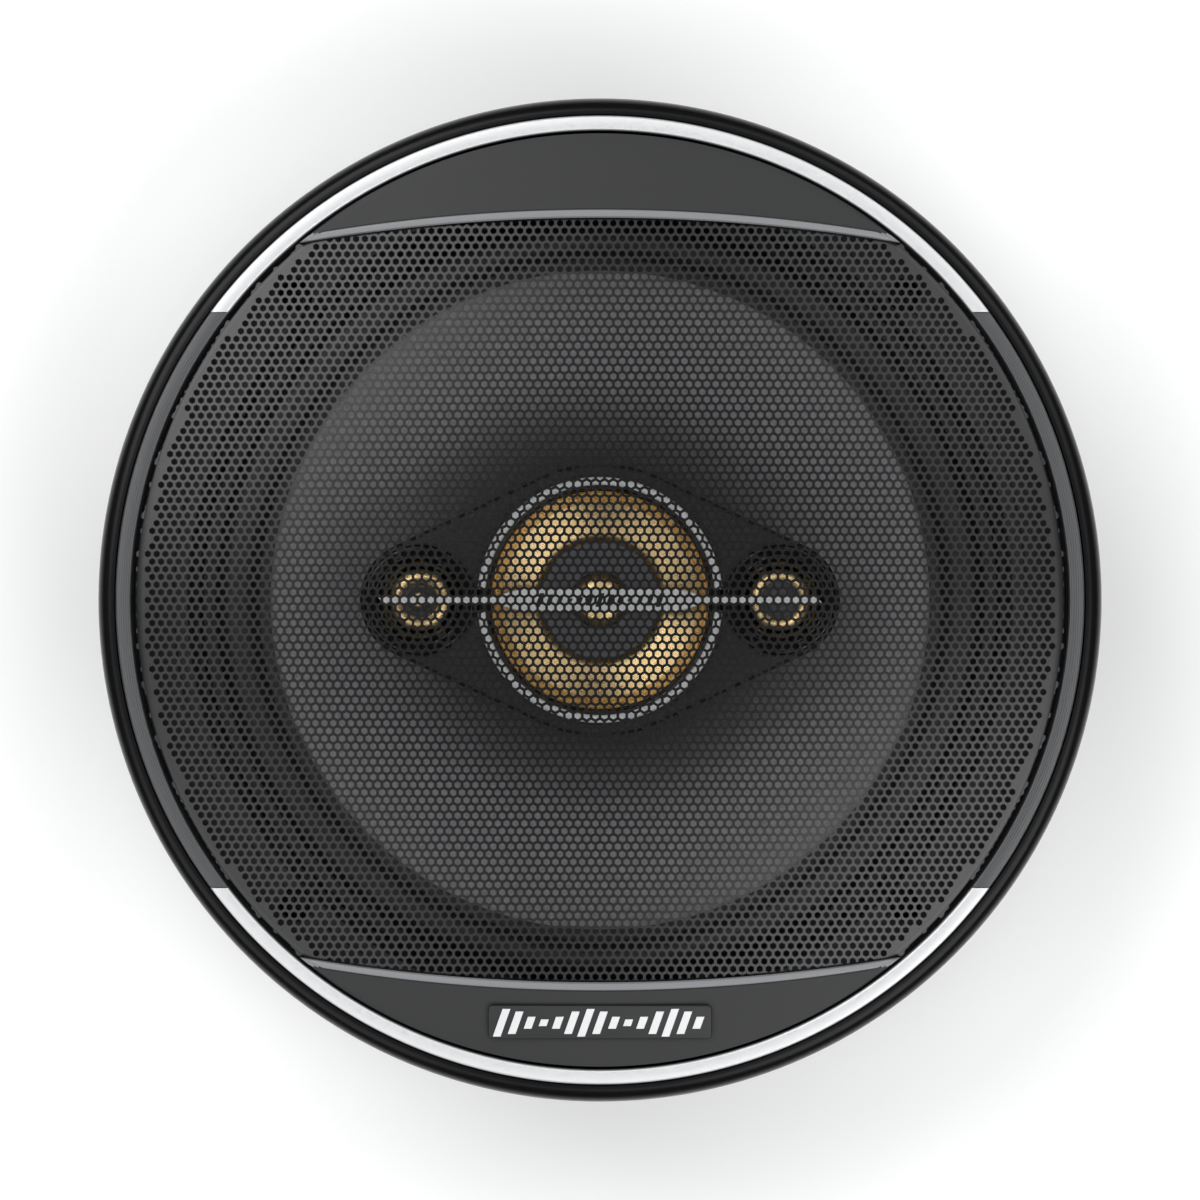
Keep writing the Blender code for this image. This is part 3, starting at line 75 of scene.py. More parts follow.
# Camera, table and light. The speaker lies face up on a pale table that sweeps up at its edge, and is seen
# from straight above, between four soft boxes, of which two on one diagonal are stronger.
def linear(code):
    """A linear colour from an sRGB hex code."""
    channels = [int(code[i : i + 2], 16) / 255 for i in (0, 2, 4)]
    return (*[c / 12.92 if c <= 0.04045 else ((c + 0.055) / 1.055) ** 2.4 for c in channels], 1.0)


def add(material, kind, links=None, feeds=(), stops=(), **settings):
    """Adds a node. links gives its inputs a value, or an output of another node, or the node itself for its
    main output. A texture reads the point on the piece. feeds names the shader's sockets that the node's
    first output drives, and stops are a colour ramp's places and colours."""
    tree = material.node_tree
    made = tree.nodes.new("ShaderNode" + kind)
    if kind in ("TexNoise", "TexWave", "TexVoronoi"):
        tree.links.new(tree.nodes["Texture Coordinate"].outputs["Object"], made.inputs["Vector"])
    for name, value in settings.items():
        setattr(made, name, value)
    for name, value in (links or {}).items():
        if isinstance(value, bpy.types.Node):
            value = value.outputs.get("Fac", value.outputs[0])
        if isinstance(value, bpy.types.NodeSocket):
            tree.links.new(value, made.inputs[name])
        else:
            made.inputs[name].default_value = value
    for name in feeds:
        tree.links.new(made.outputs[0], tree.nodes["Principled BSDF"].inputs[name])
    for element, (place, colour) in zip(made.color_ramp.elements if stops else (), stops):
        element.position = place
        element.color = linear(colour)
    return made


def surface(name, colour, settings):
    """A new material with this colour, and each setting on the shader's own socket."""
    made = bpy.data.materials.new(name)
    made.use_nodes = True
    made.node_tree.nodes.new("ShaderNodeTexCoord")
    shader = made.node_tree.nodes["Principled BSDF"]
    shader.inputs["Base Color"].default_value = linear(colour)
    for setting, value in settings.items():
        shader.inputs[setting].default_value = value
    return made


def worked(material, pattern, relief=None, roughness=None, span=(0.3, 0.7), tones=()):
    """Lets one pattern work the surface: relief is its strength and depth, roughness goes between two values
    over this span of the pattern, and tones are its colours."""
    if tones:
        add(material, "ValToRGB", {"Fac": pattern}, feeds=["Base Color"], stops=tones)
    if relief:
        raised = {"Height": pattern, "Strength": relief[0], "Distance": relief[1]}
        add(material, "Bump", raised, feeds=["Normal"])
    if roughness:
        ends = dict(zip(("From Min", "From Max", "To Min", "To Max"), (*span, *roughness)))
        add(material, "MapRange", {"Value": pattern, **ends}, feeds=["Roughness"])


def placed(name, data):
    """A new object with this data, in the scene."""
    made = bpy.data.objects.new(name, data)
    bpy.context.scene.collection.objects.link(made)
    return made


def from_build(name, build):
    mesh = bpy.data.meshes.new(name)
    build.to_mesh(mesh)
    build.free()
    return placed(name, mesh)


def cleaned(name, build):
    """The built piece, with doubled points joined and its faces turned outwards."""
    bmesh.ops.remove_doubles(build, verts=build.verts, dist=0.001 * MM)
    bmesh.ops.recalc_face_normals(build, faces=build.faces)
    return from_build(name, build)


def arc(radius, start, stop, steps, centre=(0.0, 0.0)):
    turns = [start + (stop - start) * i / steps for i in range(steps + 1)]
    return [(centre[0] + radius * math.cos(a), centre[1] + radius * math.sin(a)) for a in turns]


def turned(name, steps, outline, centre=(0.0, 0.0), start=None, stop=None):
    """Spins (radius, height) points about an upright axis at centre, and closes the outline unless it starts
    on the axis. start and stop, angles as functions of the radius, make a bow with closed ends."""
    whole = start is None
    count = steps if whole else steps + 1
    build = bmesh.new()
    rings = []
    for radius, height in outline:
        first, last = (0.0, 2 * math.pi) if whole else (start(radius), stop(radius))
        points = arc(radius, first, last, steps, centre)[:count]
        rings.append([build.verts.new((*point, height)) for point in points])
    pairs = list(zip(rings, rings[1:]))
    if outline[0][0] > 0:
        pairs.append((rings[-1], rings[0]))
    for one, other in pairs:
        for i in range(steps):
            j = (i + 1) % count
            build.faces.new((one[i], one[j], other[j], other[i]))
    if not whole:
        build.faces.new([ring[0] for ring in rings])
        build.faces.new([ring[-1] for ring in rings])
    return cleaned(name, build)


LENS = 180.0
SENSOR = 36.0
FACE_SHARE = 0.84  # of the picture's width, taken up by the speaker
TABLE_RADIUS = 1.6
TABLE_SWEEP = 0.8

face_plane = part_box("silver_arc_upper")[1].z
camera = placed("camera", bpy.data.cameras.new("camera"))
camera.data.lens = LENS
camera.data.sensor_width = SENSOR
camera.location = (0, 0, face_plane + (cad_high.x - cad_low.x) / FACE_SHARE * LENS / SENSOR)
bpy.context.scene.camera = camera

# Matt white laminate: nearly even, with a faint mottle.
white_laminate = surface("white_matt_laminate", "f4f4f4", {"Roughness": 0.75})
mottle = add(white_laminate, "TexNoise", {"Scale": 6.0, "Detail": 3.0})
worked(white_laminate, mottle, tones=[(0.3, "f2f2f2"), (0.7, "f7f7f7")])
sweep = [
    (TABLE_RADIUS + TABLE_SWEEP * math.sin(a), TABLE_SWEEP * (1 - math.cos(a)))
    for a in (math.pi / 2 * i / 12 for i in range(13))
]
table_top = turned("table", 96, [(0, 0), *sweep, (TABLE_RADIUS + TABLE_SWEEP, 2.2)])
table_top.data.materials.append(white_laminate)
table_top.data.shade_smooth()

world = bpy.data.worlds.new("studio")
bpy.context.scene.world = world
world.use_nodes = True
world.node_tree.nodes["Background"].inputs["Color"].default_value = (0.9, 0.95, 1.0, 1.0)
world.node_tree.nodes["Background"].inputs["Strength"].default_value = 0.08

bpy.context.scene.view_settings.view_transform = "Standard"

SOFT_BOXES = {  # place, side and power
    "key_softbox": ((-0.4, 0.4, 0.86), 0.62, 6.2),
    "fill_softbox": ((0.4, -0.4, 0.86), 0.62, 5.4),
    "right_softbox": ((0.42, 0.42, 0.86), 0.62, 3.2),
    "left_softbox": ((-0.42, -0.42, 0.86), 0.62, 3.2),
}
for name, (place, side, power) in SOFT_BOXES.items():
    light = placed(name, bpy.data.lights.new(name, "AREA"))
    light.data.shape = "SQUARE"
    light.data.size = side
    light.data.energy = power
    light.location = place
    light.rotation_euler = (-Vector(place)).to_track_quat("-Z", "Y").to_euler()


# Back plate and pole: one forging of low-carbon steel, turned on its faces and zinc plated. A recess behind
# takes the post's nut, and a groove across the back takes the bridge's lead.
def eased(corners, parts=4):
    """The outline with each corner that is given as (x, y, radius) turned into an arc."""
    points = []
    for i, corner in enumerate(corners):
        here = Vector(corner[:2])
        if len(corner) < 3:
            points.append(tuple(here))
            continue
        before = Vector(corners[i - 1][:2]) - here
        after = Vector(corners[(i + 1) % len(corners)][:2]) - here
        half = before.angle(after) / 2
        reach = min(corner[2] / math.tan(half), 0.45 * before.length, 0.45 * after.length)
        middle = here + (before.normalized() + after.normalized()).normalized() * reach / math.cos(half)
        first = here + before.normalized() * reach - middle
        last = here + after.normalized() * reach - middle
        turn = math.atan2(first.x * last.y - first.y * last.x, first.dot(last))
        for k in range(parts + 1):
            points.append(tuple(middle + Matrix.Rotation(turn * k / parts, 2) @ first))
    return points


def block(name, low, high):
    build = bmesh.new()
    size = Matrix.Diagonal((*(Vector(high) - Vector(low)), 1.0))
    middle = Matrix.Translation((Vector(low) + Vector(high)) / 2)
    bmesh.ops.create_cube(build, size=1.0, matrix=middle @ size)
    return from_build(name, build)


def settle(piece):
    """Turns a piece's modifiers into its mesh."""
    graph = bpy.context.evaluated_depsgraph_get()
    mesh = bpy.data.meshes.new_from_object(piece.evaluated_get(graph))
    piece.modifiers.clear()
    piece.data = mesh


def joined(name, pieces):
    """One object made of the pieces, which go."""
    build = bmesh.new()
    for piece in pieces:
        piece.data.transform(piece.matrix_basis)
        build.from_mesh(piece.data)
        bpy.data.objects.remove(piece)
    return from_build(name, build)


def cut(piece, *cutters):
    """Cuts each cutter out of the piece. The cutters go."""
    for cutter in cutters:
        modifier = piece.modifiers.new("cut", "BOOLEAN")
        modifier.operation = "DIFFERENCE"
        modifier.object = cutter
    settle(piece)
    for cutter in cutters:
        bpy.data.objects.remove(cutter)


def smooth(piece, look):
    piece.data.materials.clear()
    piece.data.materials.append(look)
    piece.data.shade_smooth()
    piece.data.set_sharp_from_angle(angle=math.radians(38))


def fit(piece, look, body, slot, *nodes):
    """Gives the piece its finish, and fixes it to its body, if it has one, in place of the frame's nodes."""
    smooth(piece, look)
    if body:
        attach(piece, body)
    if nodes:
        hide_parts(*nodes)
    return piece


def waves(spacing):
    """A wave texture's scale for lines this far apart."""
    return 2 * math.pi / (20 * spacing)


# Zinc plated low-carbon steel, turned: bright, slightly blue, with fine tool rings and a cloudy sheen.
zinc_steel = surface("zinc_plated_turned_steel", "c6c8c8", {"Metallic": 1.0, "Roughness": 0.32})
cloud = add(zinc_steel, "TexNoise", {"Scale": 1 / (6 * MM), "Detail": 3.0})
worked(zinc_steel, cloud, roughness=(0.24, 0.46))
tool_rings = add(
    zinc_steel, "TexWave", {"Scale": waves(0.45 * MM), "Distortion": 0.4, "Detail": 1.0}, wave_type="RINGS",
    rings_direction="Z"
)
worked(zinc_steel, tool_rings, relief=(0.35, 0.03 * MM))

NUT_RECESS = 8.5 * MM
LEAD_GROOVE_HALF = 1.5 * MM
LEAD_GROOVE_DEPTH = 2.7 * MM
POLE_RADIUS = 12.1 * MM
POLE_BORE = 4.3 * MM

yoke_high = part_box("yoke")[1]
plate_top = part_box("magnet")[0].z - GAP
back_plate = turned("back_plate_and_pole", 144, eased([
    (POLE_RADIUS, yoke_high.z, 0.5 * MM), (POLE_RADIUS, plate_top), (yoke_high.x, plate_top, 0.7 * MM),
    (yoke_high.x, 0, 1.0 * MM), (26.4 * MM, 0), (26.2 * MM, 0.25 * MM), (25.4 * MM, 0.25 * MM),
    (25.2 * MM, 0), (NUT_RECESS, 0, 0.5 * MM), (NUT_RECESS, NUT_RECESS, 0.4 * MM), (POLE_BORE, NUT_RECESS),
    (POLE_BORE, yoke_high.z, 0.4 * MM)
]))
groove_low = (-LEAD_GROOVE_HALF, -yoke_high.x - MM, -MM)
cut(back_plate, block("groove", groove_low, (LEAD_GROOVE_HALF, 0, LEAD_GROOVE_DEPTH)))
fit(back_plate, zinc_steel, "basket", "zinc_plated_steel", "yoke")


# Magnet: a ring of sintered strontium ferrite, glued between the plates. Its faces are ground and its rim is
# left as it was fired, dark charcoal with a fine grit.
ferrite = surface("sintered_ferrite", "2a2a2c", {"Roughness": 0.62, "IOR": 1.6})
grit = add(ferrite, "TexNoise", {"Scale": 1 / (0.5 * MM), "Detail": 4.0})
worked(ferrite, grit, tones=[(0.35, "232325"), (0.7, "3b3b3e")], relief=(0.5, 0.08 * MM))


def flat_ring(outer, inner, low, high, *eases):
    """A flat ring's outline, with its corners eased in turn from the outer top one round to the inner."""
    places = [(outer, high), (outer, low), (inner, low), (inner, high)]
    return eased([(*place, ease) if ease else place for place, ease in zip(places, eases)])


MAGNET_BORE = 21.0 * MM
MAGNET_EDGE = 0.9 * MM
MAGNET_BORE_EDGE = 0.6 * MM

magnet_low, magnet_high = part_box("magnet")
magnet_eases = (MAGNET_EDGE, MAGNET_EDGE, MAGNET_BORE_EDGE, MAGNET_BORE_EDGE)
magnet_outline = flat_ring(magnet_high.x, MAGNET_BORE, magnet_low.z, magnet_high.z, *magnet_eases)
magnet = turned("ferrite_ring_magnet", 144, magnet_outline)
fit(magnet, ferrite, "basket", "ferrite", "magnet")


# Top plate: stamped from 4 mm steel and zinc plated, with a rolled edge on the stamped side. It is glued to
# the front of the magnet, and leaves a narrow gap round the pole for the coil.
TOP_PLATE_BORE = 13.9 * MM
TOP_PLATE_EASES = (1.1 * MM, 0.3 * MM, 0.2 * MM, 0.2 * MM)

top_low, top_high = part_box("top_plate")
top_outline = flat_ring(top_high.x, TOP_PLATE_BORE, top_low.z, top_high.z, *TOP_PLATE_EASES)
top_plate = turned("stamped_top_plate", 144, top_outline)
fit(top_plate, zinc_steel, "basket", "zinc_plated_steel", "top_plate")


# Basket: drawn from 0.9 mm steel sheet in one pressing, pierced with four windows and twelve open slots, and
# dip coated black. Each of the four spokes has a pressed rib, and the rim is folded forward between slots.
def sheet(thickness, path):
    """The closed outline of a sheet whose front follows the path inwards. A corner's third number is the
    radius of its front side."""
    places = [Vector(corner[:2]) for corner in path]
    ways = [(b - a).normalized() for a, b in zip(places, places[1:])]
    ways = [ways[0], *ways, ways[-1]]
    back = []
    for corner, place, before, after in zip(path, places, ways, ways[1:]):
        one = Vector((-before.y, before.x))
        other = Vector((-after.y, after.x))
        behind = place + (one + other) * thickness / (1 + one.dot(other))
        back.append(tuple(behind))
        if len(corner) == 3:
            bends_back = before.x * after.y - before.y * after.x > 0
            radius = corner[2] + (-thickness if bends_back else thickness)
            back[-1] = (*behind, max(radius, 0.1 * MM))
    return eased([*path, *back[::-1]])


def slab(name, outline, low, high, edge=0.0, turn=0.0):
    """A flat piece with the closed outline, between two heights, with its edges eased."""
    build = bmesh.new()
    base = build.faces.new([build.verts.new((x, y, low)) for x, y in outline])
    raised = bmesh.ops.extrude_face_region(build, geom=[base])["geom"]
    top = [v for v in raised if isinstance(v, bmesh.types.BMVert)]
    bmesh.ops.translate(build, verts=top, vec=(0, 0, high - low))
    bmesh.ops.recalc_face_normals(build, faces=build.faces)
    bmesh.ops.transform(build, matrix=Matrix.Rotation(turn, 4, "Z"), verts=build.verts)
    made = from_build(name, build)
    if edge:
        bevel = made.modifiers.new("edges", "BEVEL")
        bevel.width = edge
        bevel.segments = 3
        bevel.limit_method = "ANGLE"
        bevel.angle_limit = math.radians(50)
        settle(made)
    return made


# Cathodic dip coat on steel: satin black, with the faint peel of a baked film.
dip_coat = surface("black_dip_coated_steel", "18181a", {
    "Roughness": 0.36, "Coat Weight": 0.25, "Coat Roughness": 0.2
})
peel = add(dip_coat, "TexNoise", {"Scale": 1 / (0.9 * MM), "Detail": 2.0})
worked(dip_coat, peel, relief=(0.25, 0.06 * MM))
haze = add(dip_coat, "TexNoise", {"Scale": 1 / (14 * MM), "Detail": 2.0})
worked(dip_coat, haze, roughness=(0.3, 0.44))

SHEET = 0.9 * MM
SHELF_RADIUS = 39.0 * MM
SEAT_RADIUS = 34.2 * MM
FLOOR_BORE = 26.0 * MM
LEDGE_RADIUS = 70.8 * MM
LEDGE_DROP = 1.4 * MM
WELL_RADIUS = 61.9 * MM  # inside of the wall under the ledge
WELL_DEPTH = 6.0 * MM
GROOVE_RADIUS = 73.4 * MM  # a thin ring pressed into the flange
WINDOW_INNER = 42.5 * MM
WINDOW_OUTER = 59.0 * MM
WINDOW_HALF_ANGLE = math.radians(33)
WINDOW_CORNER = 3.0 * MM
SLOT_HALF = 2.5 * MM
SLOT_CENTRE = 76.4 * MM
SLOT_PAIR_ANGLE = math.radians(7)
LIP_STOP = 5.1 * MM  # from the middle of a slot to where the folded rim starts
RIB_HALF_WIDTH = 5.0 * MM
RIB_DEPTH = 1.3 * MM
TAB_HALF_WIDTH = 13.0 * MM
TAB_END = 51.0 * MM
RIVET_LINE = 48.6 * MM

flange_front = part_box("grille_base_ring")[0].z - GAP + SHEET
shelf_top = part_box("terminal_board")[0].z - GAP
basket_low, basket_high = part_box("basket")
rim = basket_high.x
floor_top = basket_low.z + SHEET
well_low = flange_front - WELL_DEPTH
wall = [
    (
        WELL_RADIUS - 0.6 * MM + (SHELF_RADIUS - WELL_RADIUS + 0.6 * MM) * i / 10,
        well_low + (shelf_top - well_low) * i / 10
    )
    for i in range(1, 10)
]
pressing = turned("basket_pressing", 240, sheet(SHEET, [
    (rim - SHEET, basket_high.z), (rim - SHEET, flange_front, 1.0 * MM),
    (GROOVE_RADIUS + 0.5 * MM, flange_front), (GROOVE_RADIUS, flange_front - 0.3 * MM),
    (GROOVE_RADIUS - 0.5 * MM, flange_front), (LEDGE_RADIUS + 0.7 * MM, flange_front),
    (LEDGE_RADIUS, flange_front - LEDGE_DROP), (WELL_RADIUS, flange_front - LEDGE_DROP, 1.2 * MM),
    (WELL_RADIUS - 0.6 * MM, well_low, 2.0 * MM), *wall, (SHELF_RADIUS, shelf_top, 1.0 * MM),
    (SEAT_RADIUS, shelf_top, 1.2 * MM), (SEAT_RADIUS - 1.0 * MM, floor_top, 0.8 * MM),
    (FLOOR_BORE, floor_top)
]))
for vertex in pressing.data.vertices:
    radius = vertex.co.xy.length
    from_spoke = (math.atan2(vertex.co.y, vertex.co.x) % (math.pi / 2)) - math.pi / 4
    across = min(abs(radius * math.sin(from_spoke)) / RIB_HALF_WIDTH, 1.0)
    along = min(max((radius - SHELF_RADIUS) / (4 * MM), 0.0), 1.0)
    along *= min(max((WELL_RADIUS - 1.2 * MM - radius) / (4 * MM), 0.0), 1.0)
    vertex.co.z -= RIB_DEPTH * along * (1 + math.cos(math.pi * across)) / 2


def window(direction):
    first = direction - WINDOW_HALF_ANGLE
    last = direction + WINDOW_HALF_ANGLE
    inner = arc(WINDOW_INNER, first, last, 24)
    outer = arc(WINDOW_OUTER, last, first, 32)
    corners = [(*point, WINDOW_CORNER) for point in (inner[0], inner[-1], outer[0], outer[-1])]
    return eased([corners[0], *inner[2:-2], corners[1], corners[2], *outer[2:-2], corners[3]], 6)


slot_outline = [
    (rim + MM, SLOT_HALF), *arc(SLOT_HALF, math.pi / 2, 3 * math.pi / 2, 16, (SLOT_CENTRE, 0)),
    (rim + MM, -SLOT_HALF)
]
notch_low = (rim - 3 * MM, -LIP_STOP, flange_front + SHEET)
cutters = []
for quarter in range(4):
    axis = quarter * math.pi / 2
    cutters.append(slab("window_punch", window(axis), floor_top, flange_front - LEDGE_DROP - MM))
    for turn in (axis - SLOT_PAIR_ANGLE, axis + SLOT_PAIR_ANGLE, axis + math.pi / 4):
        cutters.append(slab("slot_punch", slot_outline, flange_front - 2 * MM, rim, turn=turn))
        notch = block("lip_punch", notch_low, (rim + MM, LIP_STOP, rim))
        notch.data.transform(Matrix.Rotation(turn, 4, "Z"))
        cutters.append(notch)
cut(pressing, *cutters)
tab_outline = eased([
    (-TAB_HALF_WIDTH, MM - SHELF_RADIUS), (-TAB_HALF_WIDTH, -TAB_END, 2 * MM),
    (TAB_HALF_WIDTH, -TAB_END, 2 * MM), (TAB_HALF_WIDTH, MM - SHELF_RADIUS)
])
tab = slab("tab", tab_outline, shelf_top - 0.95 * SHEET, shelf_top - 0.05 * SHEET, 0.15 * MM)
fit(joined("basket_pressing", [pressing, tab]), dip_coat, "basket", "black_coated_steel", "basket")


# Spider: a disc of cotton cloth, dipped in phenolic resin and hot pressed into rings, glued to the shelf and
# to the former. It keeps the coil centred, so its outer edge stays still and its middle moves with the cone.
def flex(piece, share):
    """Bakes the piece's place into its mesh and works out each point's share; share gives, for a point, how
    far it goes with the cone. Nothing uses the shares, so the piece does not bend.
    """
    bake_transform(piece)
    shares = [share(vertex.co) for vertex in piece.data.vertices]


def eased_share(value):
    value = min(max(value, 0.0), 1.0)
    return value * value * (3 - 2 * value)


# Resin-dipped cotton: tan, dull, with the square weave. Threads are 0.35 mm apart and drawn at 0.6 mm.
resin_cloth = surface("resin_dipped_cotton_cloth", "b98f4e", {
    "Roughness": 0.8, "Sheen Weight": 0.15, "Sheen Roughness": 0.5
})
threads = [
    add(resin_cloth, "TexWave", {"Scale": waves(0.6 * MM), "Distortion": 0.3}, bands_direction=way)
    for way in "XY"
]
weave = add(resin_cloth, "Math", {0: threads[0], 1: threads[1]}, operation="MULTIPLY")
worked(resin_cloth, weave, tones=[(0.1, "8d682f"), (0.6, "c8a05c")], relief=(0.6, 0.12 * MM))

SPIDER_CLOTH = 0.5 * MM
SPIDER_WAVE = 0.9 * MM
SPIDER_WAVES = 3
SPIDER_SEAT = 34.8 * MM
SPIDER_COLLAR = 15.5 * MM

spider_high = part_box("spider")[1]
spider_top = shelf_top + GAP + SPIDER_CLOTH
neck_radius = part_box("voice_coil_former")[1].x + GAP
wave_step = 2 * math.pi * SPIDER_WAVES
rings = [
    (
        SPIDER_SEAT - (SPIDER_SEAT - SPIDER_COLLAR) * i / 72,
        spider_top + SPIDER_WAVE * math.sin(wave_step * i / 72)
    )
    for i in range(73)
]
spider = turned("corrugated_spider", 128, sheet(
    SPIDER_CLOTH, [(spider_high.x, spider_top), *rings, (neck_radius, spider_top)]
))
fit(spider, resin_cloth, None, "spider_cloth", "spider")
flex(spider, lambda place: eased_share((SPIDER_SEAT - place.xy.length) / (SPIDER_SEAT - SPIDER_COLLAR)))


# Voice coil: two layers of enamelled copper wire, wound on an aluminium former. It moves in the gap round the
# pole, and the cone is glued to its front end.
# Spun aluminium foil: pale and satin, with fine rings.
aluminium = surface("spun_aluminium", "d2d3d4", {"Metallic": 1.0, "Roughness": 0.3})
lines = add(
    aluminium, "TexWave", {"Scale": waves(0.3 * MM), "Distortion": 0.3}, wave_type="RINGS",
    rings_direction="Z"
)
worked(aluminium, lines, relief=(0.2, 0.02 * MM))
smear = add(aluminium, "TexNoise", {"Scale": 1 / (3 * MM), "Detail": 3.0})
worked(aluminium, smear, roughness=(0.24, 0.4))

# Enamelled copper wire: red-brown metal under varnish, in turns 0.25 mm apart.
enamelled_wire = surface("enamelled_copper_wire", "b8643a", {
    "Metallic": 1.0, "Roughness": 0.3, "Coat Weight": 0.6, "Coat Roughness": 0.1
})
wire_turns = add(enamelled_wire, "TexWave", {"Scale": waves(0.25 * MM)}, bands_direction="Z")
worked(enamelled_wire, wire_turns, tones=[(0.0, "6f3218"), (0.5, "c67444")], relief=(0.7, 0.06 * MM))


def round_box(node):
    """The frame's box of a node: its two corners, its middle along X and half its width, or its radius."""
    low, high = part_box(node)
    return low, high, (low.x + high.x) / 2, (high.x - low.x) / 2


def tube(name, node, wall, ease, steps=128):
    """A ring the size of the frame's node, with this wall and eased edges, or a disc if wall is None."""
    low, high, middle, radius = round_box(node)
    if wall:
        outline = flat_ring(radius, radius - wall, low.z, high.z, *[ease] * 4)
    else:
        outline = eased([(0, high.z), (radius, high.z, ease), (radius, low.z, ease), (0, low.z)])
    return turned(name, steps, outline, (middle, 0))


FORMER_WALL = 0.3 * MM
WINDING_WALL = 0.5 * MM

former = tube("coil_former", "voice_coil_former", FORMER_WALL, 0.1 * MM)
fit(former, aluminium, "cone", "aluminium", "voice_coil_former")
winding = tube("coil_winding", "voice_coil_winding", WINDING_WALL, 0.2 * MM)
fit(winding, enamelled_wire, "cone", "copper_wire", "voice_coil_winding")


# Woofer cone: injection moulded from mineral-filled polypropylene, curved and 0.8 mm thick, glued to the
# former at its neck. A dust ring of the same plastic covers the coil's gap round the post.
# Moulded polypropylene: dark grey and satin, with a fine mineral speckle and faint flow rings, and darker
# towards the neck with painted shade, which stands in for the bridge's shadow there.
moulded_cone = surface("moulded_mineral_filled_polypropylene", "8c8c8e", {
    "Roughness": 0.46, "IOR": 1.49, "Specular IOR Level": 0.8
})
speckle = add(moulded_cone, "TexNoise", {"Scale": 1 / (0.4 * MM), "Detail": 3.0})
specks = add(moulded_cone, "ValToRGB", {"Fac": speckle}, stops=[(0.35, "7e7e80"), (0.72, "9c9c9e")])
cone_place = moulded_cone.node_tree.nodes["Texture Coordinate"].outputs["Object"]
flat_place = add(moulded_cone, "VectorMath", {0: cone_place, 1: (1.0, 1.0, 0.0)}, operation="MULTIPLY")
from_axis = add(moulded_cone, "VectorMath", {0: flat_place}, operation="LENGTH")
# Painted shade: the cone's colour falls to 0.3 of itself between 44 mm and 20 mm from the axis.
shade = {"Value": from_axis.outputs["Value"], "From Min": 20 * MM, "From Max": 44 * MM, "To Min": 0.3}
painted_neck_shade = add(moulded_cone, "MapRange", shade, interpolation_type="SMOOTHSTEP")
add(moulded_cone, "VectorMath", {0: specks, "Scale": painted_neck_shade}, feeds=["Base Color"], operation="SCALE")
flow = add(
    moulded_cone, "TexWave", {"Scale": waves(2.2 * MM), "Distortion": 1.5, "Detail": 2.0},
    wave_type="RINGS", rings_direction="Z"
)
worked(moulded_cone, flow, roughness=(0.42, 0.52), span=(0.0, 1.0))
worked(moulded_cone, speckle, relief=(0.25, 0.05 * MM))

CONE_WALL = 0.8 * MM
CONE_CURVE = 1.35
CONE_BELOW_FLANGE = 0.9 * MM
FORMER_ABOVE_NECK = 0.8 * MM
DUST_RING_WALL = 0.4 * MM

cone_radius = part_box("woofer_cone")[1].x
cone_edge = flange_front - CONE_BELOW_FLANGE
neck_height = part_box("voice_coil_former")[1].z - FORMER_ABOVE_NECK


def cone_height(radius):
    share = (radius - neck_radius) / (cone_radius - neck_radius)
    return neck_height + (cone_edge - neck_height) * (1 - (1 - share) ** CONE_CURVE)


radii = [cone_radius - (cone_radius - neck_radius) * i / 60 for i in range(61)]
cone = turned("moulded_cone", 192, sheet(CONE_WALL, [(r, cone_height(r)) for r in radii]))
fit(cone, moulded_cone, "cone", "grey_cone", "woofer_cone")

dust_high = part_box("dust_ring")[1]
dust_bore = 9.3 * MM
dust_foot = cone_height(dust_high.x) + GAP + DUST_RING_WALL
dust_ring = turned("dust_ring_cap", 128, sheet(DUST_RING_WALL, [
    (dust_high.x, dust_foot), (dust_high.x - 2.2 * MM, dust_foot + 1.4 * MM, 2.5 * MM),
    ((dust_high.x + dust_bore) / 2, dust_high.z, 3.0 * MM), (dust_bore, dust_high.z)
]))
fit(dust_ring, moulded_cone, "cone", "grey_cone", "dust_ring")


# Surround: a half roll of moulded butyl rubber, glued to the cone's edge and to the ledge in the basket. Its
# outer edge stays still, and its inner edge moves with the cone.
# Moulded butyl rubber: black and waxy, with a fine mould texture and a faint grey bloom.
butyl = surface("moulded_butyl_rubber", "161617", {"Roughness": 0.42, "IOR": 1.52})
bloom = add(butyl, "TexNoise", {"Scale": 1 / (9 * MM), "Detail": 4.0})
worked(butyl, bloom, tones=[(0.35, "131314"), (0.75, "202022")])
skin = add(butyl, "TexNoise", {"Scale": 1 / (0.35 * MM), "Detail": 2.0})
worked(butyl, skin, relief=(0.25, 0.05 * MM))

RUBBER_WALL = 0.7 * MM
OUTER_LAND = 1.6 * MM
INNER_LAND = 1.4 * MM

surround_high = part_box("surround")[1]
roll_outer = surround_high.x - OUTER_LAND
roll_inner = cone_radius + 2 * GAP
outer_top = flange_front - LEDGE_DROP + GAP + RUBBER_WALL
inner_top = cone_edge + GAP + RUBBER_WALL
roll = [
    (
        (roll_outer + roll_inner) / 2 + (roll_outer - roll_inner) / 2 * math.cos(turn),
        inner_top + (surround_high.z - inner_top) * math.sin(turn)
    )
    for turn in (math.pi * i / 28 for i in range(1, 28))
]
surround = turned("half_roll_surround", 192, sheet(RUBBER_WALL, [
    (surround_high.x, outer_top), (roll_outer, outer_top), *roll, (roll_inner, inner_top),
    (cone_radius - INNER_LAND, inner_top)
]))
fit(surround, butyl, None, "black_rubber", "surround")
flex(surround, lambda place: eased_share((roll_outer - place.xy.length) / (roll_outer - roll_inner)))


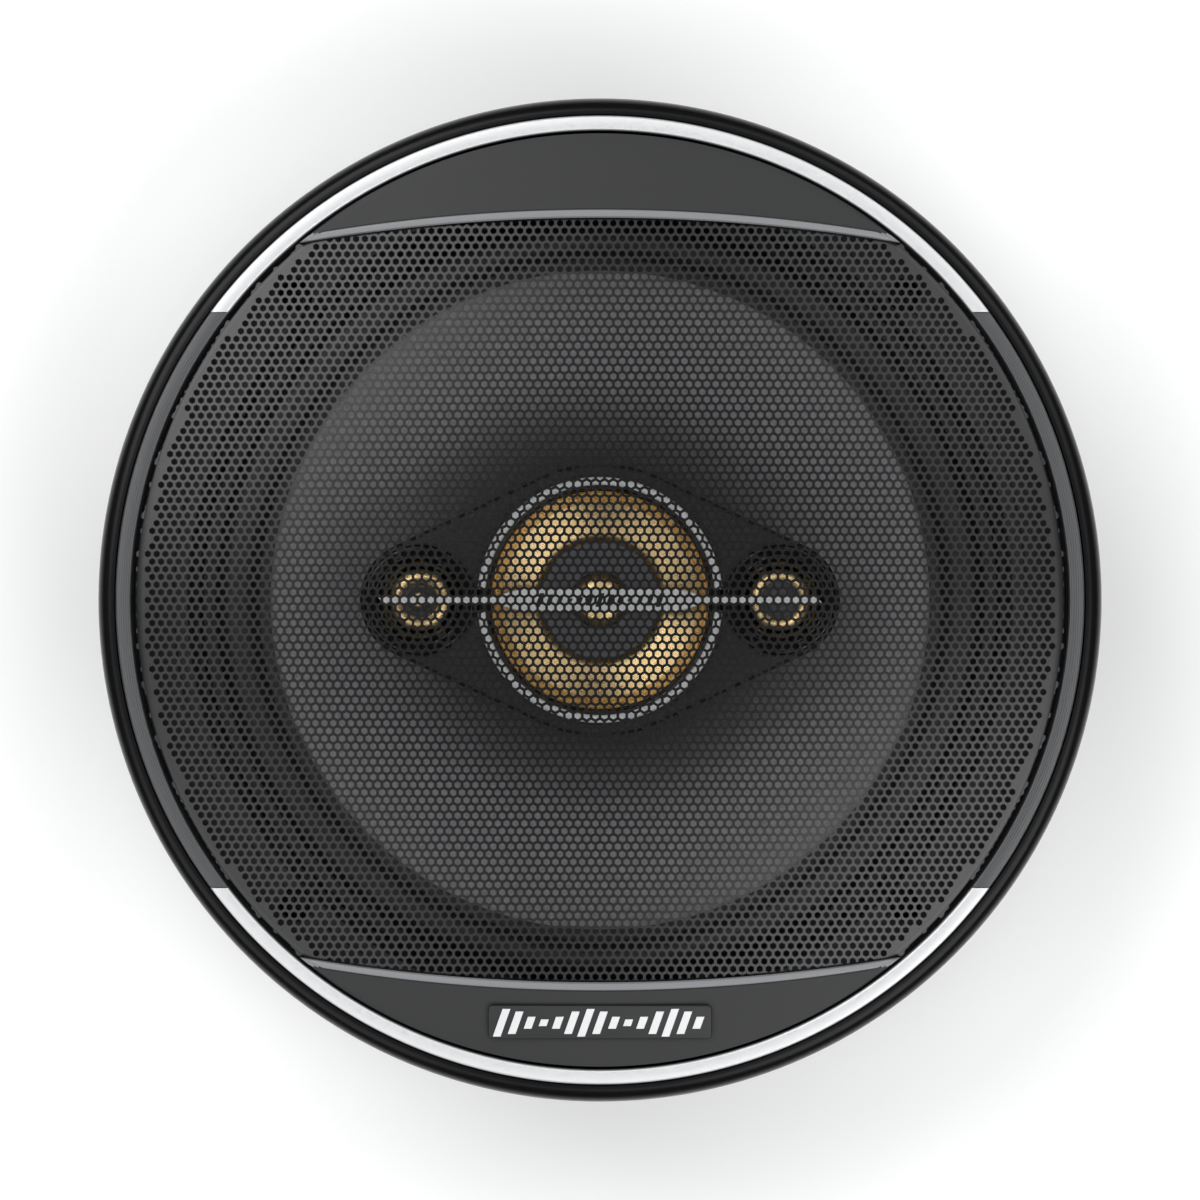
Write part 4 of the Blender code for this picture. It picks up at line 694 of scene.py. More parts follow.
# Terminals: a card of paper-filled phenolic, riveted to the basket's tab. It carries one wide and one narrow
# blade, stamped from tinned brass and held by a rivet each.
# Punched phenolic card: brown, with the faint fibre of the paper.
phenolic = surface("punched_phenolic_card", "5c3a1e", {"Roughness": 0.5, "IOR": 1.6})
fibre = add(phenolic, "TexNoise", {"Scale": 1 / (0.8 * MM), "Detail": 5.0, "Distortion": 1.2})
worked(phenolic, fibre, tones=[(0.3, "4a2d16"), (0.7, "704a27")], relief=(0.3, 0.05 * MM))

# Tinned brass, stamped: soft bright grey with dull patches.
tinned_brass = surface("tinned_stamped_brass", "cfccc2", {"Metallic": 1.0, "Roughness": 0.3})
dull = add(tinned_brass, "TexNoise", {"Scale": 1 / (1.5 * MM), "Detail": 4.0})
worked(tinned_brass, dull, roughness=(0.22, 0.42))

RIVET_SHANK = 1.0 * MM
RIVET_DIMPLE = 0.5 * MM
BLADE_HOLE = 0.7 * MM
BLADE_SHOULDER = 1.2 * MM
BLADE_TIP = 0.35  # share of the half width that is cut away
RIVET_HEAD = 0.8 * MM


def drill(radius, low, high, centre=(0.0, 0.0), steps=96):
    """A round cutter between two heights."""
    return turned("drill", steps, [(0, high), (radius, high), (radius, low), (0, low)], centre)


board_low, board_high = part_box("terminal_board")
card_outline = [
    (board_low.x, board_low.y, 1.0 * MM), (board_high.x, board_low.y, 1.0 * MM),
    (board_high.x, board_high.y, 1.0 * MM), (board_low.x, board_high.y, 1.0 * MM)
]
card = slab("terminal_card", eased(card_outline), board_low.z, board_high.z, 0.15 * MM)
fit(card, phenolic, "basket", "phenolic_board", "terminal_board")

for name, node in (("wide_blade", "positive_blade"), ("narrow_blade", "negative_blade")):
    low, high, middle, half = round_box(node)
    tip = BLADE_TIP * half
    outline = [
        (middle - half, high.y), (middle - half, low.y + BLADE_SHOULDER),
        (middle - half + tip, low.y, 0.3 * MM), (middle + half - tip, low.y, 0.3 * MM),
        (middle + half, low.y + BLADE_SHOULDER), (middle + half, high.y)
    ]
    blade = slab(name, eased(outline), low.z, high.z, 0.12 * MM)
    cut(blade, drill(BLADE_HOLE, low.z - MM, high.z + MM, (middle, low.y + 3.0 * MM), 24))
    fit(blade, tinned_brass, "basket", "tinned_brass", node)

for node in ("positive_rivet", "negative_rivet", "board_rivet"):
    low, high, middle, head = round_box(node)
    seat = high.z - RIVET_HEAD
    tail = [(RIVET_SHANK, low.z), (0, low.z)]
    if node == "board_rivet":
        foot = low.z + RIVET_HEAD
        tail = [(RIVET_SHANK, foot), (head, foot), (head, low.z), (0, low.z)]
    outline = [
        (0, high.z - RIVET_DIMPLE), (0.5 * head, high.z - 0.15 * MM, 0.4 * MM),
        (0.62 * head, high.z, 0.2 * MM), (head, seat + 0.35 * MM, 0.5 * MM), (head, seat),
        (RIVET_SHANK, seat), *tail
    ]
    rivet = turned(node + "_head", 32, eased(outline), (middle, -RIVET_LINE))
    fit(rivet, tinned_brass, "basket", "tinned_brass", node)


# Tinsel leads: copper tinsel braided over thread, soldered to the blades and fixed under the cone. They bend
# with it, so one end stays still and the other moves.
def smooth_path(points, parts=6):
    """A Catmull-Rom curve through the points."""
    ways = [2 * Vector(points[0]) - Vector(points[1]), *map(Vector, points)]
    ways.append(2 * ways[-1] - ways[-2])
    path = []
    for a, b, c, d in zip(ways, ways[1:], ways[2:], ways[3:]):
        for t in (i / parts for i in range(parts)):
            rise = 2 * a - 5 * b + 4 * c - d
            path.append(0.5 * (2 * b + (c - a) * t + rise * t**2 + (3 * b - a - 3 * c + d) * t**3))
    return [*path, Vector(points[-1])]


def wire(name, path, radius):
    """A round wire along the path, with closed ends."""
    curve = bpy.data.curves.new(name, "CURVE")
    curve.dimensions = "3D"
    curve.bevel_depth = radius
    curve.bevel_resolution = 2
    curve.use_fill_caps = True
    spline = curve.splines.new("POLY")
    spline.points.add(len(path) - 1)
    for point, place in zip(spline.points, path):
        point.co = (*place, 1)
    drawn = placed(name, curve)
    graph = bpy.context.evaluated_depsgraph_get()
    build = bmesh.new()
    build.from_mesh(bpy.data.meshes.new_from_object(drawn.evaluated_get(graph)))
    bpy.data.objects.remove(drawn)
    return cleaned(name, build)


def braid(name, path, strands, radius, pitch):
    """Strands that wind round a path that runs mostly level."""
    pieces = []
    step = (path[1] - path[0]).length
    for strand in range(strands):
        way = []
        for i, place in enumerate(path):
            along = (path[min(i + 1, len(path) - 1)] - path[max(i - 1, 0)]).normalized()
            side = along.cross(Vector((0, 0, 1))).normalized()
            turn = 2 * math.pi * (i * step / pitch + strand / strands)
            way.append(place + radius * (side * math.cos(turn) + side.cross(along) * math.sin(turn)))
        pieces.append(wire("strand", way, radius))
    return joined(name, pieces)


# Tinsel braid: bright copper foil over thread, with its crossings 0.6 mm apart.
tinsel = surface("braided_copper_tinsel", "c98a5c", {"Metallic": 1.0, "Roughness": 0.38})
plaits = add(tinsel, "TexWave", {"Scale": waves(0.6 * MM)})
worked(tinsel, plaits, tones=[(0.0, "8a5430"), (0.5, "d69a6c")], relief=(0.6, 0.08 * MM))

TINSEL_RADIUS = 0.5 * MM
TINSEL_START = 44.5 * MM
TINSEL_CONE_RADIUS = 22.0 * MM
TINSEL_CONE_SPREAD = 5.4 * MM
TINSEL_SLACK = 0.9 * MM
STRAND_RADIUS = 0.26 * MM
STRAND_PITCH = 3.0 * MM

lead_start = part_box("positive_blade")[1].z + GAP + TINSEL_RADIUS
lead_end = cone_height(TINSEL_CONE_RADIUS) - 2 * CONE_WALL - GAP - TINSEL_RADIUS
cone_line = math.sqrt(TINSEL_CONE_RADIUS**2 - TINSEL_CONE_SPREAD**2)
lead_line = [
    (0.0, lead_start), (0.15, lead_start + 0.7 * TINSEL_SLACK), (0.37, lead_start + TINSEL_SLACK),
    (0.63, lead_end + 0.2 * TINSEL_SLACK), (0.82, lead_end - 0.3 * TINSEL_SLACK), (1.0, lead_end)
]
for name, side in (("positive_tinsel", -1), ("negative_tinsel", 1)):
    node = name + "_lead"
    low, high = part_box(node)
    outside = max(abs(low.x), abs(high.x)) - TINSEL_RADIUS
    points = [
        (
            side * (outside + (TINSEL_CONE_SPREAD - outside) * share),
            -TINSEL_START - (cone_line - TINSEL_START) * share, height
        )
        for share, height in lead_line
    ]
    lead = braid(name, smooth_path(points), 3, STRAND_RADIUS, STRAND_PITCH)
    fit(lead, tinsel, None, "copper_wire", node)
    flex(lead, lambda place: eased_share((place.y + TINSEL_START) / (TINSEL_START - cone_line)))


# Crossover capacitor: a bipolar can in a shrunk plastic sleeve, lying under the tab, and the bridge's lead,
# which runs down past the magnet, along the back plate's groove and up the hollow post.
# Shrunk PVC sleeve: deep blue and glossy, with faint ripples round it.
shrunk_sleeve = surface("shrunk_pvc_sleeve", "1d2a52", {"Roughness": 0.26, "IOR": 1.53})
ripple = add(shrunk_sleeve, "TexWave", {"Scale": waves(1.4 * MM), "Distortion": 2.0, "Detail": 2.0})
worked(shrunk_sleeve, ripple, relief=(0.2, 0.06 * MM))

# Extruded PVC lead: black, satin, with fine die lines.
pvc_lead = surface("extruded_pvc_lead", "1b1b1c", {"Roughness": 0.42, "IOR": 1.53})
die_lines = add(pvc_lead, "TexNoise", {"Scale": 1 / (0.5 * MM), "Detail": 2.0})
worked(pvc_lead, die_lines, roughness=(0.34, 0.5), span=(0.0, 1.0))

cap_low, cap_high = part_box("crossover_capacitor")
cap_radius = (cap_high.z - cap_low.z) / 2
cap_half = (cap_high.x - cap_low.x) / 2
capacitor = turned("bipolar_capacitor", 64, eased([
    (0, cap_half - 0.4 * MM), (0.72 * cap_radius, cap_half - 0.4 * MM),
    (0.78 * cap_radius, cap_half, 0.3 * MM), (cap_radius, cap_half, 0.7 * MM),
    (cap_radius, 0.72 * cap_half, 0.3 * MM), (0.88 * cap_radius, 0.66 * cap_half, 0.4 * MM),
    (cap_radius, 0.6 * cap_half, 0.3 * MM), (cap_radius, -cap_half, 0.7 * MM),
    (0.8 * cap_radius, -cap_half, 0.3 * MM), (0.74 * cap_radius, 0.3 * MM - cap_half),
    (0, 0.3 * MM - cap_half)
]))
cap_middle = (cap_low + cap_high) / 2
capacitor.data.transform(Matrix.Translation(cap_middle) @ Matrix.Rotation(math.pi / 2, 4, "Y"))
fit(capacitor, shrunk_sleeve, "basket", "capacitor_sleeve", "crossover_capacitor")

LEAD_RADIUS = 0.8 * MM
LEAD_BEND = 2.5 * MM

groove_middle = LEAD_GROOVE_DEPTH / 2
past_magnet = magnet_high.x + LEAD_RADIUS + 3 * GAP
cap_line = cap_middle.y
lead_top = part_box("bridge_lead")[1].z
post_foot = yoke_high.z
lead_points = [
    (cap_half + GAP, cap_line, cap_middle.z),
    (cap_half + GAP + LEAD_BEND, cap_line, cap_middle.z - 0.4 * LEAD_BEND),
    (cap_half + GAP + 0.8 * LEAD_BEND, cap_line, cap_middle.z - 1.8 * LEAD_BEND),
    (1.8 * LEAD_BEND, -past_magnet - LEAD_BEND, plate_top + 2.6 * LEAD_BEND),
    (0.3 * LEAD_BEND, -past_magnet - 0.2 * LEAD_BEND, plate_top + 0.6 * LEAD_BEND),
    (0, 0.6 * LEAD_BEND - past_magnet, groove_middle + 0.24 * LEAD_BEND),
    (0, -yoke_high.x - GAP, groove_middle), (0, -0.7 * yoke_high.x, groove_middle),
    (0, -0.4 * yoke_high.x, groove_middle), (0, -2 * LEAD_BEND, groove_middle),
    (0, -0.64 * LEAD_BEND, groove_middle + 0.28 * LEAD_BEND), (0, 0, groove_middle + 1.6 * LEAD_BEND),
    (0, 0, NUT_RECESS), (0, 0, (NUT_RECESS + post_foot) / 2), (0, 0, post_foot),
    (0, 0, (post_foot + lead_top) / 2), (0, 0, lead_top)
]
bridge_lead = wire("crossover_lead", smooth_path(lead_points), LEAD_RADIUS)
fit(bridge_lead, pvc_lead, "basket", "grained_black_plastic", "bridge_lead")


# Bridge post: a hollow turned aluminium post through the pole, held by a zinc plated nut in the back plate.
# Its head carries the bridge, and its bore takes the bridge's lead.
POST_RADIUS = 8.0 * MM
POST_HEAD = 2.0 * MM
POST_SPIGOT = 4.0 * MM
POST_BORE = 2.4 * MM

post_low, post_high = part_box("bridge_post")
head_under = post_high.z - POST_HEAD
post_seat = yoke_high.z + GAP
post = turned("bridge_post_turning", 96, eased([
    (post_high.x, post_high.z, 0.5 * MM), (post_high.x, head_under, 0.5 * MM),
    (POST_RADIUS, head_under - POST_HEAD, 1.5 * MM), (POST_RADIUS, post_seat, 0.3 * MM),
    (POST_SPIGOT, post_seat), (POST_SPIGOT, post_low.z, 0.4 * MM), (POST_BORE, post_low.z, 0.2 * MM),
    (POST_BORE, post_high.z, 0.3 * MM)
]))
fit(post, aluminium, "basket", "aluminium", "bridge_post")

nut_low, nut_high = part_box("post_nut")
nut_reach = max(nut_high.x, nut_high.y)
first = 0.0 if nut_high.x > nut_high.y else math.pi / 6
nut = slab(
    "post_hex_nut", arc(nut_reach, first, first + 5 * math.pi / 3, 5), nut_low.z, nut_high.z, 0.35 * MM
)
cut(nut, drill(POST_SPIGOT + GAP, nut_low.z - MM, nut_high.z + MM, steps=48))
fit(nut, zinc_steel, "basket", "zinc_plated_steel", "post_nut")


# Bridge: an ABS moulding with a fine spark grain, which carries the midrange and both tweeters over the cone.
# Each of them sits in a round pocket, and the whole is clamped to the post's head.
# Grained ABS: black, matt on its grain, with grains 0.5 mm across.
grained_abs = surface("grained_black_abs", "1a1a1b", {"Roughness": 0.5, "IOR": 1.54})
grain = add(grained_abs, "TexVoronoi", {"Scale": 1 / (0.5 * MM), "Randomness": 1.0}, feature="SMOOTH_F1")
worked(grained_abs, grain, relief=(0.7, 0.12 * MM), roughness=(0.42, 0.62), span=(0.0, 1.0))

HUB_RADIUS = 24.0 * MM
END_RADIUS = 10.5 * MM
BRIDGE_FLOOR = 1.4 * MM
CUP_RADIUS = 8.7 * MM

bridge_low, bridge_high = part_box("bridge_body")
spread = bridge_high.x - END_RADIUS
hub_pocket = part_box("midrange_housing")[1].x + GAP
tangent = math.acos((HUB_RADIUS - END_RADIUS) / spread)
bridge_outline = [
    *arc(END_RADIUS, -tangent, tangent, 32, (spread, 0)), *arc(HUB_RADIUS, tangent, math.pi - tangent, 32),
    *arc(END_RADIUS, math.pi - tangent, math.pi + tangent, 32, (-spread, 0)),
    *arc(HUB_RADIUS, math.pi + tangent, 2 * math.pi - tangent, 32)
]
bridge = slab("bridge_moulding", bridge_outline, bridge_low.z, bridge_high.z, 1.0 * MM)
bridge_floor = bridge_low.z + BRIDGE_FLOOR
bridge_over = bridge_high.z + MM
cutters = [drill(hub_pocket, bridge_floor, bridge_over)]
cutters += [drill(CUP_RADIUS + GAP, bridge_floor, bridge_over, (at, 0)) for at in (-spread, spread)]
cutters.append(drill(POST_BORE, bridge_low.z - MM, bridge_over))
cut(bridge, *cutters)
fit(bridge, grained_abs, "basket", "grained_black_plastic", "bridge_body")


# Midrange: a housing moulded in glossy ABS holds a small motor, a cone of gold-metallised film and a fixed
# plug in its middle. The cone and its coil move on their own.
# Polished ABS: deep black and glossy, with the slightest unevenness.
gloss_abs = surface("polished_black_abs", "0d0d0e", {"Roughness": 0.16, "IOR": 1.54})
mist = add(gloss_abs, "TexNoise", {"Scale": 1 / (8 * MM), "Detail": 3.0})
worked(gloss_abs, mist, roughness=(0.13, 0.22))
sink = add(gloss_abs, "TexNoise", {"Scale": 1 / (5 * MM), "Detail": 1.0})
worked(gloss_abs, sink, relief=(0.1, 0.05 * MM))

# Vapour-metallised polyimide film: warm gold, with fine stretch lines round it.
gold_film = surface("gold_metallised_film", "e8ca94", {"Metallic": 1.0, "Roughness": 0.29})
drawn_lines = add(gold_film, "TexNoise", {"Scale": 1 / (0.7 * MM), "Detail": 3.0})
worked(gold_film, drawn_lines, roughness=(0.24, 0.34), relief=(0.12, 0.04 * MM))


def blasted_abs(name, colour, roughness, settings):
    """ABS from a finely blasted mould, a little rougher in places."""
    made = surface(name, colour, {"Roughness": roughness, **settings})
    blast = add(made, "TexNoise", {"Scale": 1 / (0.25 * MM), "Detail": 2.0})
    ends = (roughness - 0.06, roughness + 0.08)
    worked(made, blast, relief=(0.2, 0.04 * MM), roughness=ends, span=(0.0, 1.0))
    return made


# Satin ABS of the plugs: mid grey, with a soft sheen.
grey_abs = blasted_abs("satin_grey_abs", "58595c", 0.4, {"IOR": 1.54})

MID_CONE_RADIUS = 18.9 * MM
MID_LEDGE_DROP = 2.3 * MM
MID_LEDGE_WIDTH = 1.1 * MM
MID_INSIDE = 19.3 * MM
MID_FLOOR = 1.0 * MM
MOTOR_SHEET = 0.9 * MM
MOTOR_WALL = 1.2 * MM
MID_FILM = 0.4 * MM
MID_ROLL_WIDTH = 1.8 * MM
MID_ROLL_WAVE = 0.14 * MM
MID_ROLL_LINES = 3
MID_CURVE = 1.25
COIL_RADIUS = 8.2 * MM

house_low, house_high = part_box("midrange_housing")
house_floor = house_low.z + MID_FLOOR
ledge = house_high.z - MID_LEDGE_DROP
housing = turned("midrange_housing_moulding", 144, eased([
    (house_high.x, house_high.z, 0.4 * MM), (house_high.x, house_low.z, 0.4 * MM), (POST_BORE, house_low.z),
    (POST_BORE, house_floor), (MID_INSIDE - MID_LEDGE_WIDTH, house_floor, 0.5 * MM),
    (MID_INSIDE - MID_LEDGE_WIDTH, ledge), (MID_INSIDE, ledge), (MID_INSIDE, house_high.z, 0.7 * MM)
]))
fit(housing, gloss_abs, "basket", "gloss_black_plastic", "midrange_housing")

motor_low, motor_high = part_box("midrange_yoke")
motor_cup = turned("midrange_motor_cup", 96, eased([
    (0, motor_low.z + MOTOR_SHEET), (motor_high.x - MOTOR_WALL, motor_low.z + MOTOR_SHEET, 0.4 * MM),
    (motor_high.x - MOTOR_WALL, motor_high.z, 0.1 * MM), (motor_high.x, motor_high.z, 0.3 * MM),
    (motor_high.x, motor_low.z, 0.6 * MM), (0, motor_low.z)
]))
fit(motor_cup, zinc_steel, "basket", "zinc_plated_steel", "midrange_yoke")
midrange_discs = {"midrange_disc_magnet": "midrange_magnet", "midrange_pole_disc": "midrange_pole_plate"}
for name, node in midrange_discs.items():
    disc = tube(name, node, None, 0.2 * MM, 96)
    fit(disc, zinc_steel, "basket", "zinc_plated_steel", node)
mid_coil = tube("midrange_coil_winding", "midrange_voice_coil", 0.4 * MM, 0.1 * MM, 96)
fit(mid_coil, enamelled_wire, "midrange_diaphragm", "copper_wire", "midrange_voice_coil")

mid_low, mid_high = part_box("midrange_cone")
roll_radius = MID_CONE_RADIUS - MID_ROLL_WIDTH
foot_radius = COIL_RADIUS + 1.0 * MM
foot_top = mid_low.z + MID_FILM
roll_top = mid_high.z - 0.2 * MM
wave_step = 2 * math.pi * MID_ROLL_LINES
roll_line = [
    (MID_CONE_RADIUS - MID_ROLL_WIDTH * i / 36, roll_top + MID_ROLL_WAVE * math.cos(wave_step * i / 36))
    for i in range(37)
]
sweep_line = [
    (
        foot_radius + (roll_radius - foot_radius) * share,
        foot_top + (roll_top + MID_ROLL_WAVE - foot_top) * share**MID_CURVE
    )
    for share in (1 - i / 20 for i in range(1, 21))
]
mid_cone = turned("midrange_film_cone", 144, sheet(
    MID_FILM, [*roll_line, *sweep_line, (COIL_RADIUS, foot_top)]
))
fit(mid_cone, gold_film, "midrange_diaphragm", "gold_film", "midrange_cone")

PLUG_LIP = 0.7 * MM
PLUG_STEM = 7.4 * MM
PLUG_BORE = 5.1 * MM

plug_low, plug_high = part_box("midrange_plug")
insert_low, insert_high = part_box("midrange_plug_insert")
plug = turned("midrange_phase_plug", 96, eased([
    (0, insert_low.z - GAP), (PLUG_BORE, insert_low.z - GAP), (PLUG_BORE, plug_high.z, 0.35 * MM),
    (plug_high.x, plug_high.z, 0.35 * MM), (plug_high.x, plug_high.z - PLUG_LIP, 0.2 * MM),
    (PLUG_STEM, (plug_low.z + plug_high.z) / 2, 0.5 * MM), (PLUG_STEM, plug_low.z), (0, plug_low.z)
]))
fit(plug, grey_abs, "basket", "dark_grey_plastic", "midrange_plug")
rise = insert_high.z - insert_low.z
insert_outline = eased(
    [
        (0, insert_high.z), (0.25 * insert_high.x, insert_high.z - 0.03 * rise, 2.0 * MM),
        (0.7 * insert_high.x, insert_low.z + 0.62 * rise, 2.5 * MM),
        (insert_high.x - 0.1 * MM, insert_low.z + 0.12 * rise, 0.3 * MM), (insert_high.x, insert_low.z),
        (0, insert_low.z)
    ], 8
)
insert = turned("plug_gold_insert", 64, insert_outline)
fit(insert, gold_film, "basket", "gold_film", "midrange_plug_insert")


# Silver trim of the bridge: two half rings round the midrange, and a bar across it with a wider middle, all
# moulded in ABS and lacquered silver. The bar's middle carries a row of slanted level marks in black ink.
def flake_silver(name, colour, metallic):
    """Silver lacquer with fine aluminium flake, which gives it a fine sparkle."""
    made = surface(name, colour, {"Metallic": metallic, "Roughness": 0.42})
    sparkle = add(made, "TexNoise", {"Scale": 1 / (0.25 * MM), "Detail": 2.0})
    worked(made, sparkle, relief=(0.3, 0.04 * MM), roughness=(0.34, 0.52))
    return made


# Sprayed silver of the trim: pale, neutral and soft. It is a paler, less metallic copy of the grille's
# silver, brightened as painted light to make up for the shade of the mesh over it.
painted_light_silver = flake_silver("sprayed_silver_painted_light", "efeff0", 0.1)

# Pad-printed ink: dead black, slightly raised and slightly ragged.
black_ink = surface("pad_printed_black_ink", "0c0c0d", {"Roughness": 0.6})
rag = add(black_ink, "TexNoise", {"Scale": 1 / (0.3 * MM)})
worked(black_ink, rag, roughness=(0.5, 0.7), span=(0.0, 1.0))

RING_WIDTH = 1.4 * MM
RING_HALF_GAP = 1.9 * MM
BOW_FOOT = 0.1 * MM  # ease of a bow's edges that touch its seat


def bow(name, node, outer, inner, half_gap, ease, steps):
    """A half ring, above or below, as high as the frame's node, with its ends cut level at the half gap."""
    low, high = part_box(node)
    outline = flat_ring(outer, inner, low.z, high.z, ease, BOW_FOOT, BOW_FOOT, ease)
    end = lambda r: math.asin(half_gap / r)
    full = turned(name, steps, outline, start=end, stop=lambda r: math.pi - end(r))
    if high.y < 0:
        full.data.transform(Matrix.Rotation(math.pi, 4, "Z"))
    return full


for name, node in (("ring_trim_upper", "silver_ring_upper"), ("ring_trim_lower", "silver_ring_lower")):
    low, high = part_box(node)
    outer = max(high.x, -low.x)
    half_ring = bow(name, node, outer, outer - RING_WIDTH, RING_HALF_GAP, 0.4 * MM, 128)
    fit(half_ring, painted_light_silver, "basket", "satin_silver", node)

BAR_END_HALF = 0.6 * MM
BAR_MIDDLE_HALF = 2.0 * MM
BAR_MIDDLE_LENGTH = 13.6 * MM
BAR_TAPER_END = 18.6 * MM
BAR_SLANT = 1.0 * MM
MARK_SLANT = 0.35
INK = 0.03 * MM

bar_low, bar_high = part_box("name_bar")
half_bar = [
    (bar_high.x, -BAR_END_HALF, 0.15 * MM), (bar_high.x - BAR_SLANT, BAR_END_HALF, 0.2 * MM),
    (BAR_TAPER_END, BAR_END_HALF, 1.5 * MM), (BAR_MIDDLE_LENGTH, BAR_MIDDLE_HALF, 2.0 * MM),
    (-BAR_MIDDLE_LENGTH, BAR_MIDDLE_HALF, 2.0 * MM), (-BAR_TAPER_END, BAR_END_HALF, 1.5 * MM)
]
bar_outline = eased(half_bar + [(-x, -y, r) for x, y, r in half_bar])
bar = slab("centre_bar", bar_outline, bar_low.z, bar_high.z, 0.25 * MM)
fit(bar, painted_light_silver, "basket", "satin_silver", "name_bar")


def level_marks(name, count, pitch, width, tall, low, high):
    """A row of slanted bars that rise and fall like a level meter."""
    marks = []
    for i in range(count):
        middle = (i - (count - 1) / 2) * pitch
        half = tall * (0.62 + 0.38 * math.cos(2 * math.pi * i / 6)) / 2
        lean = MARK_SLANT * half
        left, right = middle - width / 2, middle + width / 2
        outline = [(left - lean, -half), (right - lean, -half), (right + lean, half), (left + lean, half)]
        marks.append(slab("mark", outline, low, high))
    return joined(name, marks)


bar_marks = level_marks(
    "bar_level_marks", 13, 1.75 * MM, 0.8 * MM, 2.4 * MM, bar_high.z - INK, bar_high.z + INK
)
fit(bar_marks, black_ink, "basket", "grained_black_plastic")


# Tweeters: each is a glossy cup with a flared mouth, a disc magnet, a ring-shaped diaphragm of gold film and
# a fixed plug over its middle. The left plug is dished round a gold bead, and the right one is a plain dome.
CUP_FLOOR = 1.0 * MM
CUP_THROAT = 5.9 * MM
CUP_THROAT_HEIGHT = 3.2 * MM
CUP_MOUTH = 7.6 * MM
CUP_HORN_DEPTH = 2.2 * MM
CUP_RIM = 1.2 * MM
PLUG_STALK = 1.2 * MM
FILM = 0.3 * MM

for side, at in (("left", -spread), ("right", spread)):
    low, high, _, rim_radius = round_box(side + "_tweeter_cup")
    under_rim = high.z - CUP_RIM
    cup_floor = low.z + CUP_FLOOR
    outline = eased([
        (0, cup_floor), (CUP_THROAT, cup_floor, 0.4 * MM),
        (CUP_THROAT, cup_floor + CUP_THROAT_HEIGHT, 1.0 * MM),
        (CUP_THROAT + 0.5 * MM, high.z - CUP_HORN_DEPTH, 2.0 * MM), (CUP_MOUTH, high.z, 0.5 * MM),
        (rim_radius, high.z, 0.6 * MM), (rim_radius, under_rim, 0.2 * MM), (CUP_RADIUS, under_rim),
        (CUP_RADIUS, low.z, 0.4 * MM), (0, low.z)
    ])
    cup = turned(side + "_tweeter_horn", 96, outline, (at, 0))
    fit(cup, gloss_abs, "basket", "gloss_black_plastic", side + "_tweeter_cup")
    node = side + "_tweeter_magnet"
    disc = tube(side + "_disc_magnet", node, None, 0.2 * MM, 64)
    fit(disc, zinc_steel, "basket", "zinc_plated_steel", node)

    node = side + "_tweeter_diaphragm"
    low, high, _, edge = round_box(node)
    foot = low.z + FILM
    crest = high.z - foot
    head_low = high.z + GAP
    line = [
        (edge - (edge - 1.8 * MM) * i / 30, foot + crest * math.sin(math.pi * i / 30) ** 0.8)
        for i in range(31)
    ]
    ring_dome = turned(side + "_film_ring", 96, sheet(FILM, line), (at, 0))
    fit(ring_dome, gold_film, side + "_tweeter", "gold_film", node)

    node = side + "_tweeter_plug"
    low, high, _, head = round_box(node)
    tall = high.z - head_low
    brim = head_low + 0.35 * tall
    crown = [(0, high.z), (0.5 * head, high.z - 0.08 * tall, 2.0 * MM), (head, brim, 0.8 * MM)]
    if side == "left":
        dish = head_low + 0.4 * tall
        crown = [
            (0, dish), (0.5 * head, dish, 0.4 * MM), (0.72 * head, high.z, 0.3 * MM),
            (0.86 * head, high.z, 0.3 * MM), (head, brim, 0.6 * MM)
        ]
    outline = [*crown, (head, head_low, 0.2 * MM), (PLUG_STALK, head_low), (PLUG_STALK, low.z), (0, low.z)]
    plug = turned(side + "_phase_plug", 64, eased(outline, 6), (at, 0))
    fit(plug, grey_abs, "basket", "dark_grey_plastic", node)
    if side == "left":
        outline = eased(
            [
                (0, high.z - 0.2 * tall), (0.42 * head, high.z - 0.25 * tall, 0.9 * MM),
                (0.45 * head, brim), (0, brim)
            ], 6
        )
        bead = turned("left_plug_bead", 48, outline, (at, 0))
        fit(bead, gold_film, "basket", "gold_film")


# Grille base ring: moulded in satin ABS, fixed to the flange by four screws in counterbored holes. It grips
# the folded rim, and the grille snaps over it.
# Satin ABS of the base ring: dark grey.
dark_abs = blasted_abs("satin_dark_grey_abs", "2e2f31", 0.4, {"IOR": 1.54})

RIM_CLEARANCE = 0.4 * MM
BASE_STEP = 0.5 * MM
BASE_INNER = 73.0 * MM
BASE_LAND = 75.8 * MM
SCREW_HOLE = 2.3 * MM
SCREW_SINK = 3.1 * MM
SCREW_SINK_DEPTH = 1.6 * MM

base_low, base_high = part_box("grille_base_ring")
base_seat = flange_front + GAP
channel_top = basket_high.z + RIM_CLEARANCE
base_ring = turned("grille_base_moulding", 192, eased([
    (base_high.x, base_high.z, 0.5 * MM), (base_high.x, base_low.z, 0.3 * MM),
    (rim + RIM_CLEARANCE, base_low.z), (rim + RIM_CLEARANCE, channel_top),
    (rim - SHEET - RIM_CLEARANCE, channel_top), (rim - SHEET - RIM_CLEARANCE - 0.5 * MM, base_seat),
    (BASE_INNER, base_seat), (BASE_INNER, base_high.z - BASE_STEP, 0.6 * MM),
    (BASE_LAND - 0.3 * MM, base_high.z - BASE_STEP), (BASE_LAND, base_high.z, 0.2 * MM)
]))
screw_turns = [math.pi / 4 + quarter * math.pi / 2 for quarter in range(4)]
screw_places = [(SLOT_CENTRE * math.cos(turn), SLOT_CENTRE * math.sin(turn)) for turn in screw_turns]
sink_top = base_high.z + MM
sink_floor = base_high.z - SCREW_SINK_DEPTH
outline = [
    (0, sink_top), (SCREW_SINK, sink_top), (SCREW_SINK, sink_floor), (SCREW_HOLE, sink_floor),
    (SCREW_HOLE, base_seat - MM), (0, base_seat - MM)
]
